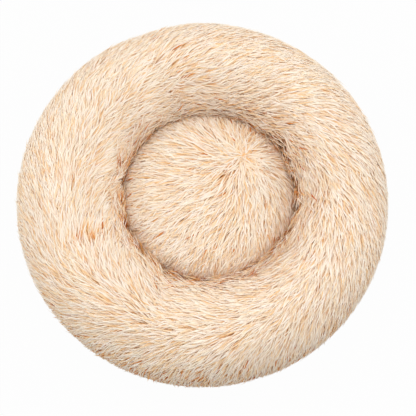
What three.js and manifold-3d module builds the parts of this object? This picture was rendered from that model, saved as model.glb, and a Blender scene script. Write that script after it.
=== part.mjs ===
// Round plush pet bed: a fat stuffed ring round a crowned seat, on a base cloth that opens with a zip.
// Millimetres, +Z up. The bed stands on z = 0 and is centred on the Z axis, its front faces -Y,
// and the zip in its underside runs along X.
import * as THREE from "three";
import { mergeVertices } from "three/addons/utils/BufferGeometryUtils.js";
import Module from "manifold-3d";

const wasm = await Module();
wasm.setup();

// What neighbouring pieces leave between them, and how far cutting and joining solids run over
const clearance = { soft: 0.4, seam: 0.3, zip: 0.3, running: 0.4, side: 0.6, floor: 0.3 };
const overrun = 1;
const weldDistance = 1e-4;

// The stuffed ring, over its laid pile. Its weight presses its underside flat.
const ring = { outerRadius: 300, halfWidth: 79, topHeight: 178, widestHeight: 86, press: 6 };
ring.centreRadius = ring.outerRadius - ring.halfWidth;
ring.wellRadius = ring.centreRadius - ring.halfWidth;

// The plush: a knitted backing with its pile laid flat. Its seams are drawn in by their thread.
const plush = { thickness: 22, seamDraw: 6 };
const seamWidthDegrees = 13;

// The cloths, and how the ring's stuffing sags inside the plush
const cloth = { base: 1.2, liner: 1 };
const stuffing = { sag: 14, press: 12, seatSeamHeight: 20 };

// The seat, over its laid pile. The hem is the seam allowance that joins it to the ring.
const seat = { crevice: 3, crownHeight: 135, hemDrop: 6, hemThickness: 4 };
seat.radius = ring.wellRadius - seat.crevice;
const bolster = { spread: 8, cornerDrop: 10, cornerRun: 11 };
bolster.radius = seat.radius + bolster.spread;

// The zip, a little longer than the well is wide: moulded teeth of one pitch, and a woven tape on each side
const zip = { height: 10.5, toothPitch: 4, pastWell: 8 };
zip.toothCount = Math.round((2 * (ring.wellRadius + zip.pastWell)) / zip.toothPitch);
zip.halfLength = (zip.toothPitch * zip.toothCount) / 2;
const tooth = { neckWidth: 1.2, headWidth: 2.2, tipWidth: 1.5, headLength: 2, shoulder: 0.35, thickness: 3 };
const bead = { width: 2 };
const tape = { width: 13, thickness: 0.8, endLength: 18 };
const stop = { length: 4, width: 2.6, thickness: 3 };
const clothOpening = { halfWidth: 9, endLength: 9 };

// The dent that lifts the base cloth to the zip, so that the bed stands clear of its slider
const dent = { shelf: 20, slope: 14, endShelf: 5 };

// The slider, and the pull that hangs from its crown
const slider = { length: 17, noseLength: 7, flange: 1.3, plate: 1.3, noseSpread: 2, bevel: 0.35 };
const post = { length: 3.4, width: 3, nose: 0.8 };
const crown = { length: 12.4, width: 3, rise: 2.2, bar: 1.1 };
const pull = { length: 26, thickness: 1.4, eyeLength: 7.2, eyeBar: 1.4, gripWidth: 9, waistWidth: 5.6 };

// How finely the round forms are stepped
const steps = { round: 36, seatCurve: 6, arch: 8, bar: 16 };
const stepDegrees = 360 / steps.round;
const outsideStep = 15;
const insideStep = 30;
const seatSquareness = 2.4;

// The plush panels run between seams at these bearings, from +X towards +Y.
const panels = [
  { name: "ring_panel_back_right", fromDegrees: 0, toDegrees: 110 },
  { name: "ring_panel_left", fromDegrees: 110, toDegrees: 250 },
  { name: "ring_panel_front_right", fromDegrees: 250, toDegrees: 360 },
];
const panelStartDegrees = -60;
const panelEndDegrees = 210;

const finishes = {
  plush: { color: 0xf3dfc8, roughness: 0.95, metalness: 0 },
  liner: { color: 0xe9e6df, roughness: 0.9, metalness: 0 },
  fibre: { color: 0xf7f6f2, roughness: 1, metalness: 0 },
  base: { color: 0xcfb597, roughness: 0.85, metalness: 0 },
  tape: { color: 0xdcc4a4, roughness: 0.8, metalness: 0 },
  teeth: { color: 0xe6d2b6, roughness: 0.45, metalness: 0 },
  metal: { color: 0xb9babd, roughness: 0.3, metalness: 1 },
};

const bed = new THREE.Group();
const radians = THREE.MathUtils.degToRad;

function addPiece(name, geometry, finish) {
  const mesh = new THREE.Mesh(geometry, new THREE.MeshStandardMaterial(finishes[finish]));
  mesh.name = name;
  bed.add(mesh);
  return mesh;
}

// Solids and their booleans

function toSolid(geometry) {
  const bare = new THREE.BufferGeometry();
  const loose = geometry.index ? geometry.toNonIndexed() : geometry;
  bare.setAttribute("position", loose.getAttribute("position").clone());
  const merged = mergeVertices(bare, weldDistance);
  return new wasm.Manifold(
    new wasm.Mesh({
      numProp: 3,
      vertProperties: merged.attributes.position.array,
      triVerts: new Uint32Array(merged.index.array),
    }),
  );
}

function toGeometry(solid) {
  const mesh = solid.getMesh();
  const geometry = new THREE.BufferGeometry();
  geometry.setAttribute("position", new THREE.BufferAttribute(mesh.vertProperties, mesh.numProp));
  geometry.setIndex(new THREE.BufferAttribute(mesh.triVerts, 1));
  return geometry;
}

function toShape(points) {
  return new THREE.Shape(points.map(([x, y]) => new THREE.Vector2(x, y)));
}

// A closed loop of [radius, height] points turned once round the Z axis.
function revolve(loop) {
  const points = loop.map(([radius, height]) => new THREE.Vector2(radius, height));
  const area = THREE.ShapeUtils.area(points);
  const outward = area > 0 ? points : points.reverse();
  const onAxis = outward.some((point) => point.x === 0);
  const profile = onAxis ? fromAxisToAxis(outward) : [...outward, outward[0].clone()];
  return new THREE.LatheGeometry(profile, steps.round).rotateX(Math.PI / 2);
}

// Starts the loop at the axis point that follows another one, so that the axis itself isn't swept.
function fromAxisToAxis(points) {
  const count = points.length;
  const start = points.findIndex((point, i) => point.x === 0 && points[(i + count - 1) % count].x === 0);
  return [...points.slice(start), ...points.slice(0, start)];
}

// A solid through sections that stand round the Z axis, with a flat face at each end.
function loftRound(sectionAt, bearings) {
  const sections = bearings.map(sectionAt);
  const count = sections[0].length;
  const positions = [];
  sections.forEach((section, i) => {
    const bearing = radians(bearings[i]);
    for (const [radius, height] of section)
      positions.push(radius * Math.cos(bearing), radius * Math.sin(bearing), height);
  });
  const faces = [];
  for (let i = 0; i + 1 < sections.length; i++)
    for (let j = 0; j < count; j++) {
      const next = (j + 1) % count;
      const [a, b] = [i * count + j, i * count + next];
      faces.push(a, b + count, b, a, a + count, b + count);
    }
  const flat = sections.map((section) => section.map(([radius, height]) => new THREE.Vector2(radius, height)));
  const last = (sections.length - 1) * count;
  for (const [a, b, c] of THREE.ShapeUtils.triangulateShape(flat[0], [])) faces.push(a, b, c);
  for (const [a, b, c] of THREE.ShapeUtils.triangulateShape(flat.at(-1), []))
    faces.push(last + a, last + c, last + b);
  const geometry = new THREE.BufferGeometry();
  geometry.setAttribute("position", new THREE.Float32BufferAttribute(positions, 3));
  geometry.setIndex(faces);
  return geometry;
}

// A flat outline extruded upwards, centred on a height.
function slab(points, thickness, middle, hole = null) {
  const shape = toShape(points);
  if (hole) shape.holes.push(toShape(hole));
  return new THREE.ExtrudeGeometry(shape, { depth: thickness, bevelEnabled: false }).translate(
    0,
    0,
    middle - thickness / 2,
  );
}

function rectangle(fromX, toX, fromY, toY) {
  return [
    [fromX, fromY],
    [toX, fromY],
    [toX, toY],
    [fromX, toY],
  ];
}

// The ring's section: an ellipse round the stuffing, pressed flat where it stands

const ringOutside = {
  halfWidth: ring.halfWidth,
  widest: ring.widestHeight,
  upper: ring.topHeight - ring.widestHeight,
  lower: ring.widestHeight + ring.press,
  floor: cloth.base + clearance.soft,
};
const stuffingWidest = ring.widestHeight - stuffing.sag;
const ringHollow = {
  halfWidth: ring.halfWidth - plush.thickness,
  widest: stuffingWidest,
  upper: ring.topHeight - plush.thickness - stuffingWidest,
  lower: stuffingWidest + stuffing.press,
  floor: cloth.base + clearance.soft,
};

function shrunk(section, by, lift = by) {
  return {
    halfWidth: section.halfWidth - by,
    widest: section.widest,
    upper: section.upper - by,
    lower: section.lower - by,
    floor: section.floor + lift,
  };
}

function ringPoint(section, degrees, draw = 0) {
  const angle = radians(degrees);
  const halfHeight = Math.sin(angle) > 0 ? section.upper : section.lower;
  const radius = ring.centreRadius + (section.halfWidth - draw) * Math.cos(angle);
  const height = section.widest + (halfHeight - draw) * Math.sin(angle);
  return [radius, Math.max(height, section.floor)];
}

function arcPoints(section, fromDegrees, toDegrees, step, drawAt = () => 0) {
  const count = Math.round(Math.abs(toDegrees - fromDegrees) / step);
  return Array.from({ length: count + 1 }, (_, i) => {
    const degrees = fromDegrees + ((toDegrees - fromDegrees) * i) / count;
    return ringPoint(section, degrees, drawAt(degrees));
  });
}

// How far a seam's thread pulls the plush in: most on top of the ring, and nothing at its widest places.
function seamDraw(bearing, degrees) {
  const nearest = Math.min(
    ...panels.map((panel) => Math.abs(((bearing - panel.fromDegrees + 540) % 360) - 180)),
  );
  const along = Math.max(0, 1 - nearest / seamWidthDegrees);
  const over = Math.max(0, Math.sin(radians(degrees)));
  return plush.seamDraw * along * over;
}

function panelSection(bearing) {
  const drawAt = (degrees) => seamDraw(bearing, degrees);
  const outside = arcPoints(ringOutside, panelStartDegrees, panelEndDegrees, outsideStep, drawAt);
  const inside = arcPoints(ringHollow, panelEndDegrees, panelStartDegrees, insideStep);
  return [...outside, ...inside];
}

// A section stands at every step between the panel's two seams, and one short of each seam.
function panelBearings(panel) {
  const halfGap = THREE.MathUtils.radToDeg(clearance.seam / 2 / (ring.centreRadius - ring.halfWidth));
  const count = Math.round((panel.toDegrees - panel.fromDegrees) / stepDegrees);
  const between = Array.from({ length: count - 1 }, (_, i) => panel.fromDegrees + stepDegrees * (i + 1));
  return [panel.fromDegrees + halfGap, ...between, panel.toDegrees - halfGap];
}

function makeRingPanels() {
  for (const panel of panels)
    addPiece(panel.name, loftRound(panelSection, panelBearings(panel)), "plush");
}

// The ring's liner is sewn from an upper and a lower half, and holds the fibre.
function makeRingLiner() {
  const outside = shrunk(ringHollow, clearance.soft, 0);
  const inside = shrunk(outside, cloth.liner);
  const halfGap = THREE.MathUtils.radToDeg(clearance.seam / 2 / inside.halfWidth);
  for (const [name, fromDegrees, toDegrees] of [
    ["ring_liner_upper", 0, 180],
    ["ring_liner_lower", 180, 360],
  ]) {
    const [start, end] = [fromDegrees + halfGap, toDegrees - halfGap];
    const loop = [
      ...arcPoints(outside, start, end, insideStep),
      ...arcPoints(inside, end, start, insideStep),
    ];
    addPiece(name, revolve(loop), "liner");
  }
  const fibre = shrunk(inside, clearance.soft);
  addPiece("ring_fill", revolve(arcPoints(fibre, 0, 360 - insideStep, insideStep)), "fibre");
}

// The seat: a crowned disc of plush with steep sides, over a bolster that spreads out under its hem

function seatCrown(inset, foot) {
  const power = 2 / seatSquareness;
  const radius = seat.radius - inset;
  const rise = seat.crownHeight - inset - foot;
  return Array.from({ length: steps.seatCurve + 1 }, (_, i) => {
    const angle = (Math.PI / 2) * (1 - i / steps.seatCurve);
    const across = i === 0 ? 0 : Math.cos(angle) ** power;
    return [radius * across, foot + rise * Math.sin(angle) ** power];
  });
}

const [hemReach, hemTop] = ringPoint(ringOutside, panelEndDegrees);
const hem = { radius: hemReach - clearance.soft, top: hemTop, under: hemTop - seat.hemThickness };

function makeSeatCover() {
  const underside = seatCrown(plush.thickness, hem.top).reverse();
  const loop = [
    ...seatCrown(0, hem.top + seat.hemDrop),
    [hem.radius, hem.top],
    [hem.radius, hem.under],
    [seat.radius - plush.thickness, hem.under + seat.hemThickness / 2],
    ...underside,
  ];
  addPiece("seat_cover", revolve(loop), "plush");
}

// The bolster's outline from the top of its axis to its waist seam, then from there to the floor.
function bolsterUpper(inset) {
  const waist = hem.under - inset;
  return [
    ...seatCrown(plush.thickness + inset, hem.top),
    [seat.radius - plush.thickness - inset, waist],
    [bolster.radius - inset, waist],
  ];
}

function bolsterLower(inset) {
  const floor = cloth.base + inset;
  return [
    [bolster.radius - inset, floor + bolster.cornerDrop],
    [bolster.radius - bolster.cornerRun - inset, floor],
    [0, floor],
  ];
}

// The space of the slider and the dent under the seat: a long frustum whose slopes run out to the floor.
function dentSolid(grow, top) {
  const slope = dent.slope / (zip.height - tape.thickness / 2);
  const shelfX = zip.halfLength + tape.endLength + dent.endShelf + grow;
  const shelfY = dent.shelf + grow;
  const foot = -overrun;
  const spread = slope * (top - foot);
  const corners = [
    [shelfX + spread, shelfY + spread, foot],
    [shelfX, shelfY, top],
  ];
  const positions = [];
  for (const [x, y, z] of corners)
    for (const [signX, signY] of [
      [-1, -1],
      [1, -1],
      [1, 1],
      [-1, 1],
    ])
      positions.push(signX * x, signY * y, z);
  const geometry = new THREE.BufferGeometry();
  geometry.setAttribute("position", new THREE.Float32BufferAttribute(positions, 3));
  const sides = [0, 1, 2, 3].flatMap((i) => {
    const next = (i + 1) % 4;
    return [i, next, next + 4, i, next + 4, i + 4];
  });
  geometry.setIndex([0, 2, 1, 0, 3, 2, 4, 5, 6, 4, 6, 7, ...sides]);
  return toSolid(geometry);
}

const sliderHalfHeight = tooth.thickness / 2 + clearance.zip + slider.plate;

function bolsterSolid(inset) {
  const whole = toSolid(revolve([...bolsterUpper(inset), ...bolsterLower(inset)]));
  const top = zip.height + sliderHalfHeight + clearance.running;
  return whole.subtract(dentSolid(clothOpening.halfWidth / 2 + inset, top + inset));
}

function makeSeatBolster() {
  const outside = bolsterSolid(clearance.soft);
  const shell = outside.subtract(bolsterSolid(clearance.soft + cloth.liner));
  const halfGap = clearance.seam / 2;
  const reach = bolster.radius + overrun;
  const below = stuffing.seatSeamHeight - halfGap;
  const above = stuffing.seatSeamHeight + halfGap;
  const everyWay = rectangle(-reach, reach, -reach, reach);
  const lowerBlock = toSolid(slab(everyWay, below + overrun, (below - overrun) / 2));
  const upperBlock = toSolid(slab(everyWay, seat.crownHeight - above, (seat.crownHeight + above) / 2));
  addPiece("seat_liner_upper", toGeometry(shell.intersect(upperBlock)), "liner");
  addPiece("seat_liner_lower", toGeometry(shell.intersect(lowerBlock)), "liner");
  const fill = bolsterSolid(clearance.soft * 2 + cloth.liner);
  addPiece("seat_fill", toGeometry(fill), "fibre");
}

// The base cloth: a flat disc whose rim turns up to meet the plush, lifted over the dent and cut along the zip

function makeBaseCloth() {
  const seamPoint = ringPoint(ringOutside, panelStartDegrees);
  const turn = ringPoint(ringHollow, panelStartDegrees)[0];
  const top = seamPoint[1] - clearance.soft;
  const disc = toSolid(
    revolve([
      [0, 0],
      [turn, 0],
      [seamPoint[0], top - cloth.base],
      [seamPoint[0], top],
      [turn, cloth.base],
      [0, cloth.base],
    ]),
  );
  const shelf = zip.height - tape.thickness / 2 - clearance.soft;
  const lifted = disc.add(trimBelow(dentSolid(cloth.base, shelf)));
  const openX = zip.halfLength + clothOpening.endLength;
  const slot = rectangle(-openX, openX, -clothOpening.halfWidth, clothOpening.halfWidth);
  const cloths = lifted
    .subtract(dentSolid(0, shelf - cloth.base))
    .subtract(toSolid(slab(slot, zip.height * 2, zip.height)));
  const reach = ring.outerRadius;
  for (const [name, side] of [
    ["base_cloth_back", 1],
    ["base_cloth_front", -1],
  ]) {
    const edges = [(side * clearance.seam) / 2, side * reach].sort((a, b) => a - b);
    const half = toSolid(slab(rectangle(-reach, reach, ...edges), ring.topHeight, 0));
    addPiece(name, toGeometry(cloths.intersect(half)), "base");
  }
}

function trimBelow(solid) {
  const reach = ring.outerRadius;
  const under = toSolid(slab(rectangle(-reach, reach, -reach, reach), reach, -reach / 2));
  return solid.subtract(under);
}

// The zip

// One side's teeth: a comb whose heads pass between the other side's necks and lock behind its heads.
const halfLock = clearance.zip / 2;
const beadEdge = halfLock + tooth.headLength + clearance.running;

function combOutline(side) {
  const shift = (side * zip.toothPitch) / 4;
  const back = beadEdge + bead.width;
  const points = [];
  for (let i = 0; i < zip.toothCount; i++) {
    const middle = -zip.halfLength + zip.toothPitch * (i + 1 / 2) + shift;
    const halves = [
      [tooth.neckWidth / 2, beadEdge],
      [tooth.neckWidth / 2, -halfLock],
      [tooth.headWidth / 2, -halfLock - tooth.shoulder],
      [tooth.tipWidth / 2, -halfLock - tooth.headLength],
    ];
    for (const [across, out] of halves) points.push([middle - across, out]);
    for (const [across, out] of [...halves].reverse()) points.push([middle + across, out]);
  }
  const end = zip.halfLength + shift;
  points.push([end, beadEdge], [end, back], [end - 2 * zip.halfLength, back], [end - 2 * zip.halfLength, beadEdge]);
  return points.map(([x, y]) => [x, side * y]);
}

function makeZipSide(word, side) {
  const chain = slab(combOutline(side), tooth.thickness, zip.height);
  addPiece(`zip_teeth_${word}`, chain, "teeth");
  const near = beadEdge + bead.width + clearance.zip;
  const halfTape = zip.halfLength + tape.endLength;
  const edges = [side * near, side * (near + tape.width)].sort((a, b) => a - b);
  const band = slab(rectangle(-halfTape, halfTape, ...edges), tape.thickness, zip.height);
  addPiece(`zip_tape_${word}`, band, "tape");
}

// Stops are clamped round the tapes' beads: one on each side past the closed end, one across the open end.
const topStopX = zip.halfLength + zip.toothPitch / 4 + clearance.zip;

function makeStops() {
  const inner = beadEdge + bead.width - stop.width;
  for (const [word, side] of [
    ["back", 1],
    ["front", -1],
  ]) {
    const edges = [side * inner, side * (inner + stop.width)].sort((a, b) => a - b);
    const outline = rectangle(topStopX, topStopX + stop.length, ...edges);
    addPiece(`zip_top_stop_${word}`, slab(outline, stop.thickness, zip.height), "metal");
  }
  const half = beadEdge + bead.width;
  const outline = rectangle(-topStopX - stop.length, -topStopX, -half, half);
  addPiece("zip_bottom_stop", slab(outline, stop.thickness, zip.height), "metal");
}

// The slider, drawn about its own middle with its nose towards +X. Its nose holds the post between the plates.
const channelHalf = beadEdge + bead.width + clearance.zip;
const sliderHalf = channelHalf + slider.flange;

function sliderOutline() {
  const [back, front] = [-slider.length / 2, slider.length / 2];
  const shoulder = front - slider.noseLength;
  const wide = sliderHalf + slider.noseSpread;
  const upper = [
    [back, sliderHalf - slider.flange],
    [back + slider.flange, sliderHalf],
    [shoulder, sliderHalf],
    [front - slider.noseLength / 2, wide],
    [front - slider.flange, wide],
    [front, wide - slider.flange],
  ];
  return mirrored(upper);
}

// An outline whose lower half repeats its upper half, given from back to front.
function mirrored(upper) {
  return [...upper.map(([x, y]) => [x, -y]), ...[...upper].reverse()];
}

function channelOutline() {
  const [back, front] = [-slider.length / 2 - overrun, slider.length / 2 + overrun];
  const shoulder = slider.length / 2 - slider.noseLength;
  return mirrored([
    [back, channelHalf],
    [shoulder, channelHalf],
    [front - slider.noseLength / 2, channelHalf + slider.noseSpread],
    [front, channelHalf + slider.noseSpread],
  ]);
}

function postOutline() {
  const front = slider.length / 2 - post.nose;
  const middle = front - post.length / 2;
  return mirrored([
    [front - post.length, 0],
    [middle, post.width / 2],
    [front, post.width / 4],
  ]).filter(([, y], i) => y !== 0 || i > 0);
}

function archOutline(halfLength, rise) {
  return Array.from({ length: steps.arch + 1 }, (_, i) => {
    const angle = Math.PI * (1 - i / steps.arch);
    return [halfLength * Math.cos(angle), rise * Math.sqrt(Math.sin(angle))];
  });
}

// The crown bridges the plate that faces the floor, and the pull's eye hangs from it.
function crownSolid() {
  const legs = crown.bar * 2;
  const outer = archOutline(crown.length / 2, crown.rise + crown.bar);
  const inner = archOutline(crown.length / 2 - legs, crown.rise);
  const foot = -slider.plate / 2;
  const loop = [
    [-crown.length / 2, foot],
    ...outer.slice(1, -1),
    [crown.length / 2, foot],
    [crown.length / 2 - legs, foot],
    ...[...inner].reverse().slice(1, -1),
    [-crown.length / 2 + legs, foot],
  ];
  const bridge = slab(loop, crown.width, 0).rotateX(-Math.PI / 2);
  return toSolid(bridge.translate(0, 0, -sliderHalfHeight));
}

function bevelledSlab(points, thickness) {
  const options = {
    depth: thickness - slider.bevel * 2,
    bevelThickness: slider.bevel,
    bevelSize: slider.bevel,
    bevelOffset: -slider.bevel,
    bevelSegments: 1,
  };
  return new THREE.ExtrudeGeometry(toShape(points), options).translate(0, 0, slider.bevel - thickness / 2);
}

// The slider is closed once its post has passed the last tooth, and then the top stops lie beside the post.
const postRear = slider.length / 2 - post.nose - post.length;
const lastTooth = zip.halfLength - zip.toothPitch / 4 + tooth.headWidth / 2;
const sliderX = lastTooth + clearance.running - postRear;

function makeSlider() {
  const block = toSolid(bevelledSlab(sliderOutline(), sliderHalfHeight * 2));
  const channelHeight = tooth.thickness + clearance.zip * 2;
  const channel = toSolid(slab(channelOutline(), channelHeight, 0, postOutline()));
  const reach = sliderHalf + slider.noseSpread + overrun;
  const slotOutline = rectangle(-slider.length, slider.length, -reach, reach);
  const slot = toSolid(slab(slotOutline, tape.thickness + clearance.running * 2, 0, postOutline()));
  const body = block.subtract(channel).subtract(slot).add(crownSolid());
  addPiece("zip_slider", toGeometry(body), "metal").position.set(sliderX, 0, zip.height);
}

// The pull, drawn along -X from the middle of its eye bar, lies against the floor below the slider.
const pullHeight = zip.height - sliderHalfHeight - crown.rise / 2;
const pullTilt = Math.asin((pullHeight - clearance.floor - pull.thickness / 2) / pull.length);

function pullOutline() {
  const bar = pull.eyeBar / 2;
  const eye = crown.width / 2 + clearance.side + pull.eyeBar;
  const shoulder = -bar - pull.eyeLength - pull.eyeBar;
  const waist = shoulder - pull.eyeBar * 2;
  const tip = bar - pull.length;
  const round = pull.gripWidth / 3;
  return mirrored([
    [tip, pull.gripWidth / 2 - round],
    [tip + round / 3, pull.gripWidth / 2 - round / 3],
    [tip + round, pull.gripWidth / 2],
    [tip + round * 2, pull.gripWidth / 2],
    [waist, pull.waistWidth / 2],
    [shoulder, eye],
    [0, eye],
  ]);
}

// The eye's end is a round bar that turns in the crown.
function makePull() {
  const bar = pull.eyeBar / 2;
  const eyeHalf = crown.width / 2 + clearance.side;
  const eye = rectangle(-bar - pull.eyeLength, overrun, -eyeHalf, eyeHalf);
  const roundBar = new THREE.CylinderGeometry(bar, bar, 2 * (eyeHalf + pull.eyeBar), steps.bar);
  const plate = toSolid(slab(pullOutline(), pull.thickness, 0))
    .subtract(toSolid(slab(eye, pull.thickness * 2, 0)))
    .add(toSolid(roundBar));
  const mesh = addPiece("zip_pull", toGeometry(plate), "metal");
  mesh.position.set(sliderX, 0, pullHeight);
  mesh.rotation.y = -pullTilt;
}

makeRingPanels();
makeRingLiner();
makeSeatCover();
makeSeatBolster();
makeBaseCloth();
makeZipSide("back", 1);
makeZipSide("front", -1);
makeStops();
makeSlider();
makePull();

export default bed;
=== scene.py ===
import logging
import math
from contextlib import contextmanager
from dataclasses import dataclass, field
from enum import Enum
from typing import Any, Callable, ClassVar, Iterator, Mapping, NamedTuple, Sequence

import bmesh
import bpy
import numpy as np
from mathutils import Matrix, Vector, noise


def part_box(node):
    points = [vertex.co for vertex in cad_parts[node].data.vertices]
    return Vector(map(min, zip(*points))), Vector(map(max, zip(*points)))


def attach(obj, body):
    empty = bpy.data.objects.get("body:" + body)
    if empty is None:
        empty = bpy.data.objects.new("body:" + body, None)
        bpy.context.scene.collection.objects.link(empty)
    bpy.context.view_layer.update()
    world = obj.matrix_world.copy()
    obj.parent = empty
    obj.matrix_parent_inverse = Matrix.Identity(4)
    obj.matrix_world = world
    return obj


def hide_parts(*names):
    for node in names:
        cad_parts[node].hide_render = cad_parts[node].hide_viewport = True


# A round plush pet bed: a stuffed ring of long pile round a crowned seat, on a base cloth with a zip.
# Metres, +Z up. The bed stands on z = 0, its front faces -Y, and the zip runs along X.

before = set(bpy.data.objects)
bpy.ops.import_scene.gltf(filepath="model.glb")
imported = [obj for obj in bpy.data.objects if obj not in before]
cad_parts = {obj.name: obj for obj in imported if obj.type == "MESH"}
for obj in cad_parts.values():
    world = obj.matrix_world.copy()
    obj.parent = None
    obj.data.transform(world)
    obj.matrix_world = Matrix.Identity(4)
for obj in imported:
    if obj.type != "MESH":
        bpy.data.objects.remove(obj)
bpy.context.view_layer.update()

log = logging.getLogger("bed")

MM = 0.001
TINY = 1e-9
SAME_PLACE = 0.01 * MM
SINE_60 = math.sin(math.radians(60))
Colour = tuple[float, float, float, float]
Stops = tuple[tuple[float, Colour], ...]


def colour(red: int, green: int, blue: int) -> Colour:
    """Turns a colour as the eye sees it, from 0 to 255 a channel, into the renderer's linear values."""
    return (*((value / 255) ** 2.2 for value in (red, green, blue)), 1.0)


# Node trees


def adds_math(operation: str, swapped: bool = False) -> Callable[..., "Socket"]:
    """Makes an operator that adds one Math node.

    Args:
        operation: What the node works out.
        swapped: Whether its two values change places, for a reflected operator.

    Returns:
        The operator, as a method of Socket.
    """

    def operator(self: "Socket", other: Any = 0.0) -> "Socket":
        """Adds the node."""
        first, second = (other, self) if swapped else (self, other)
        return self.tree.node("ShaderNodeMath", {"operation": operation}, {0: first, 1: second})

    return operator


class Socket:
    """A node's output, on which arithmetic adds Math nodes."""

    __add__ = __radd__ = adds_math("ADD")
    __sub__, __rsub__ = adds_math("SUBTRACT"), adds_math("SUBTRACT", swapped=True)
    __mul__ = __rmul__ = adds_math("MULTIPLY")
    __truediv__, __pow__ = adds_math("DIVIDE"), adds_math("POWER")
    __gt__ = adds_math("GREATER_THAN")
    floor, size = adds_math("FLOOR"), adds_math("ABSOLUTE")
    sine, cosine = adds_math("SINE"), adds_math("COSINE")

    def __init__(self, tree: "Tree", end: bpy.types.NodeSocket) -> None:
        """Keeps the output and the tree that it is in."""
        self.tree, self.end = tree, end

    def at_least(self, lowest: Any, ease: float = 0.0) -> "Socket":
        """Gives the larger of the two values, or eases from one to the other over a given distance."""
        inputs = {0: self, 1: lowest, 2: ease}
        return self.tree.node("ShaderNodeMath", {"operation": "SMOOTH_MAX"}, inputs)

    def beside(self, output: str) -> "Socket":
        """Gives another output of the same node."""
        return Socket(self.tree, self.end.node.outputs[output])


class Arrow(Socket):
    """A vector output, on which arithmetic adds Vector Math nodes."""

    def _vector(self, operation: str, inputs: Mapping[Any, Any]) -> "Arrow":
        """Adds one Vector Math node, with this vector as its first input."""
        return self.tree.arrow("ShaderNodeVectorMath", {"operation": operation}, {0: self, **inputs})

    def __add__(self, other: Any) -> "Arrow":
        """Adds two vectors."""
        return self._vector("ADD", {1: other})

    def __sub__(self, other: Any) -> "Arrow":
        """Takes the other vector away."""
        return self._vector("SUBTRACT", {1: other})

    def __mul__(self, other: Any) -> "Arrow":
        """Scales the vector by a value."""
        return self._vector("SCALE", {"Scale": other})

    def cross(self, other: "Arrow") -> "Arrow":
        """Gives the vector at right angles to both."""
        return self._vector("CROSS_PRODUCT", {1: other})

    def unit(self) -> "Arrow":
        """Gives the vector a length of 1."""
        return self._vector("NORMALIZE", {})

    def parts(self) -> tuple[Socket, Socket, Socket]:
        """Splits the vector into its X, Y and Z."""
        split = self.tree.node("ShaderNodeSeparateXYZ", {}, {0: self})
        return split, split.beside("Y"), split.beside("Z")


class Tree:
    """A node tree that is built by one method."""

    def __init__(self, nodes: bpy.types.NodeTree) -> None:
        """Keeps the tree to build in."""
        self.nodes = nodes

    def node(
        self,
        kind: str,
        settings: Mapping[str, Any] | None = None,
        inputs: Mapping[Any, Any] | None = None,
        output: str | None = None,
    ) -> Socket:
        """Adds a node.

        Args:
            kind: The node's type.
            settings: Its properties, and a ramp's stops as (place, colour) pairs, which are set first.
            inputs: A value or a Socket for each input, by name or number.
            output: The output to return, by name. The first one in use, if not given.

        Returns:
            The output.
        """
        made = self.nodes.nodes.new(kind)
        for name, value in (settings or {}).items():
            if name == "stops":
                self._set_stops(made.color_ramp, value)
            else:
                setattr(made, name, value)
        for key, value in (inputs or {}).items():
            end = self._find(made.inputs, key)
            if isinstance(value, Socket):
                self.nodes.links.new(value.end, end)
            else:
                end.default_value = value
        if output is not None:
            return Socket(self, self._find(made.outputs, output))
        return Socket(self, next((end for end in made.outputs if end.enabled), None))

    def arrow(self, kind: str, settings: Any = None, inputs: Any = None, output: str | None = None) -> Arrow:
        """Adds a node as node() does, and gives its output as a vector."""
        return Arrow(self, self.node(kind, settings, inputs, output).end)

    def vector(self, x: Any, y: Any, z: Any = 0.0) -> Arrow:
        """Puts a vector together."""
        return self.arrow("ShaderNodeCombineXYZ", {}, {0: x, 1: y, 2: z})

    def place(self) -> Arrow:
        """Gives the place on the object."""
        return self.arrow("ShaderNodeTexCoord", output="Object")

    def ramp(self, value: Socket, stops: Stops) -> Socket:
        """Turns a value into a colour."""
        return self.node("ShaderNodeValToRGB", {"stops": stops}, {"Fac": value})

    def noise(self, place: Socket, scale: float, **more: float) -> Socket:
        """Gives cloudy noise, from 0 to 1. Its other inputs, such as Detail, are given by name."""
        return self.node("ShaderNodeTexNoise", {}, {"Vector": place, "Scale": scale, **more}, "Fac")

    def blend(self, share: Any, first: Any, second: Any, mode: str = "MIX") -> Socket:
        """Blends two colours, by the second one's share."""
        settings = {"data_type": "RGBA", "blend_type": mode}
        return self.node("ShaderNodeMix", settings, {"Factor": share, "A": first, "B": second})

    def seen(self) -> Socket:
        """Gives 1 where the camera looks, straight or by way of a shine, and 0 where light only spreads."""
        rays = self.node("ShaderNodeLightPath", output="Is Camera Ray")
        return rays.at_least(rays.beside("Is Glossy Ray")).at_least(rays.beside("Is Transmission Ray"))

    @staticmethod
    def _find(ends: Any, key: Any) -> bpy.types.NodeSocket:
        """Gives the input or output in use that has a name or a number.

        Args:
            ends: A node's inputs or outputs.
            key: The name or the number.

        Returns:
            The input or output.
        """
        if isinstance(key, int):
            return ends[key]
        return next(end for end in ends if end.name == key and end.enabled)

    @staticmethod
    def _set_stops(ramp: bpy.types.ColorRamp, stops: Stops) -> None:
        """Gives a ramp its stops.

        Args:
            ramp: The ramp.
            stops: The place and the colour of each stop.
        """
        for place, _ in stops[len(ramp.elements) :]:
            ramp.elements.new(place)
        for element, (place, shade) in zip(ramp.elements, stops):
            element.position, element.color = place, shade


# Finishes


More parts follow.
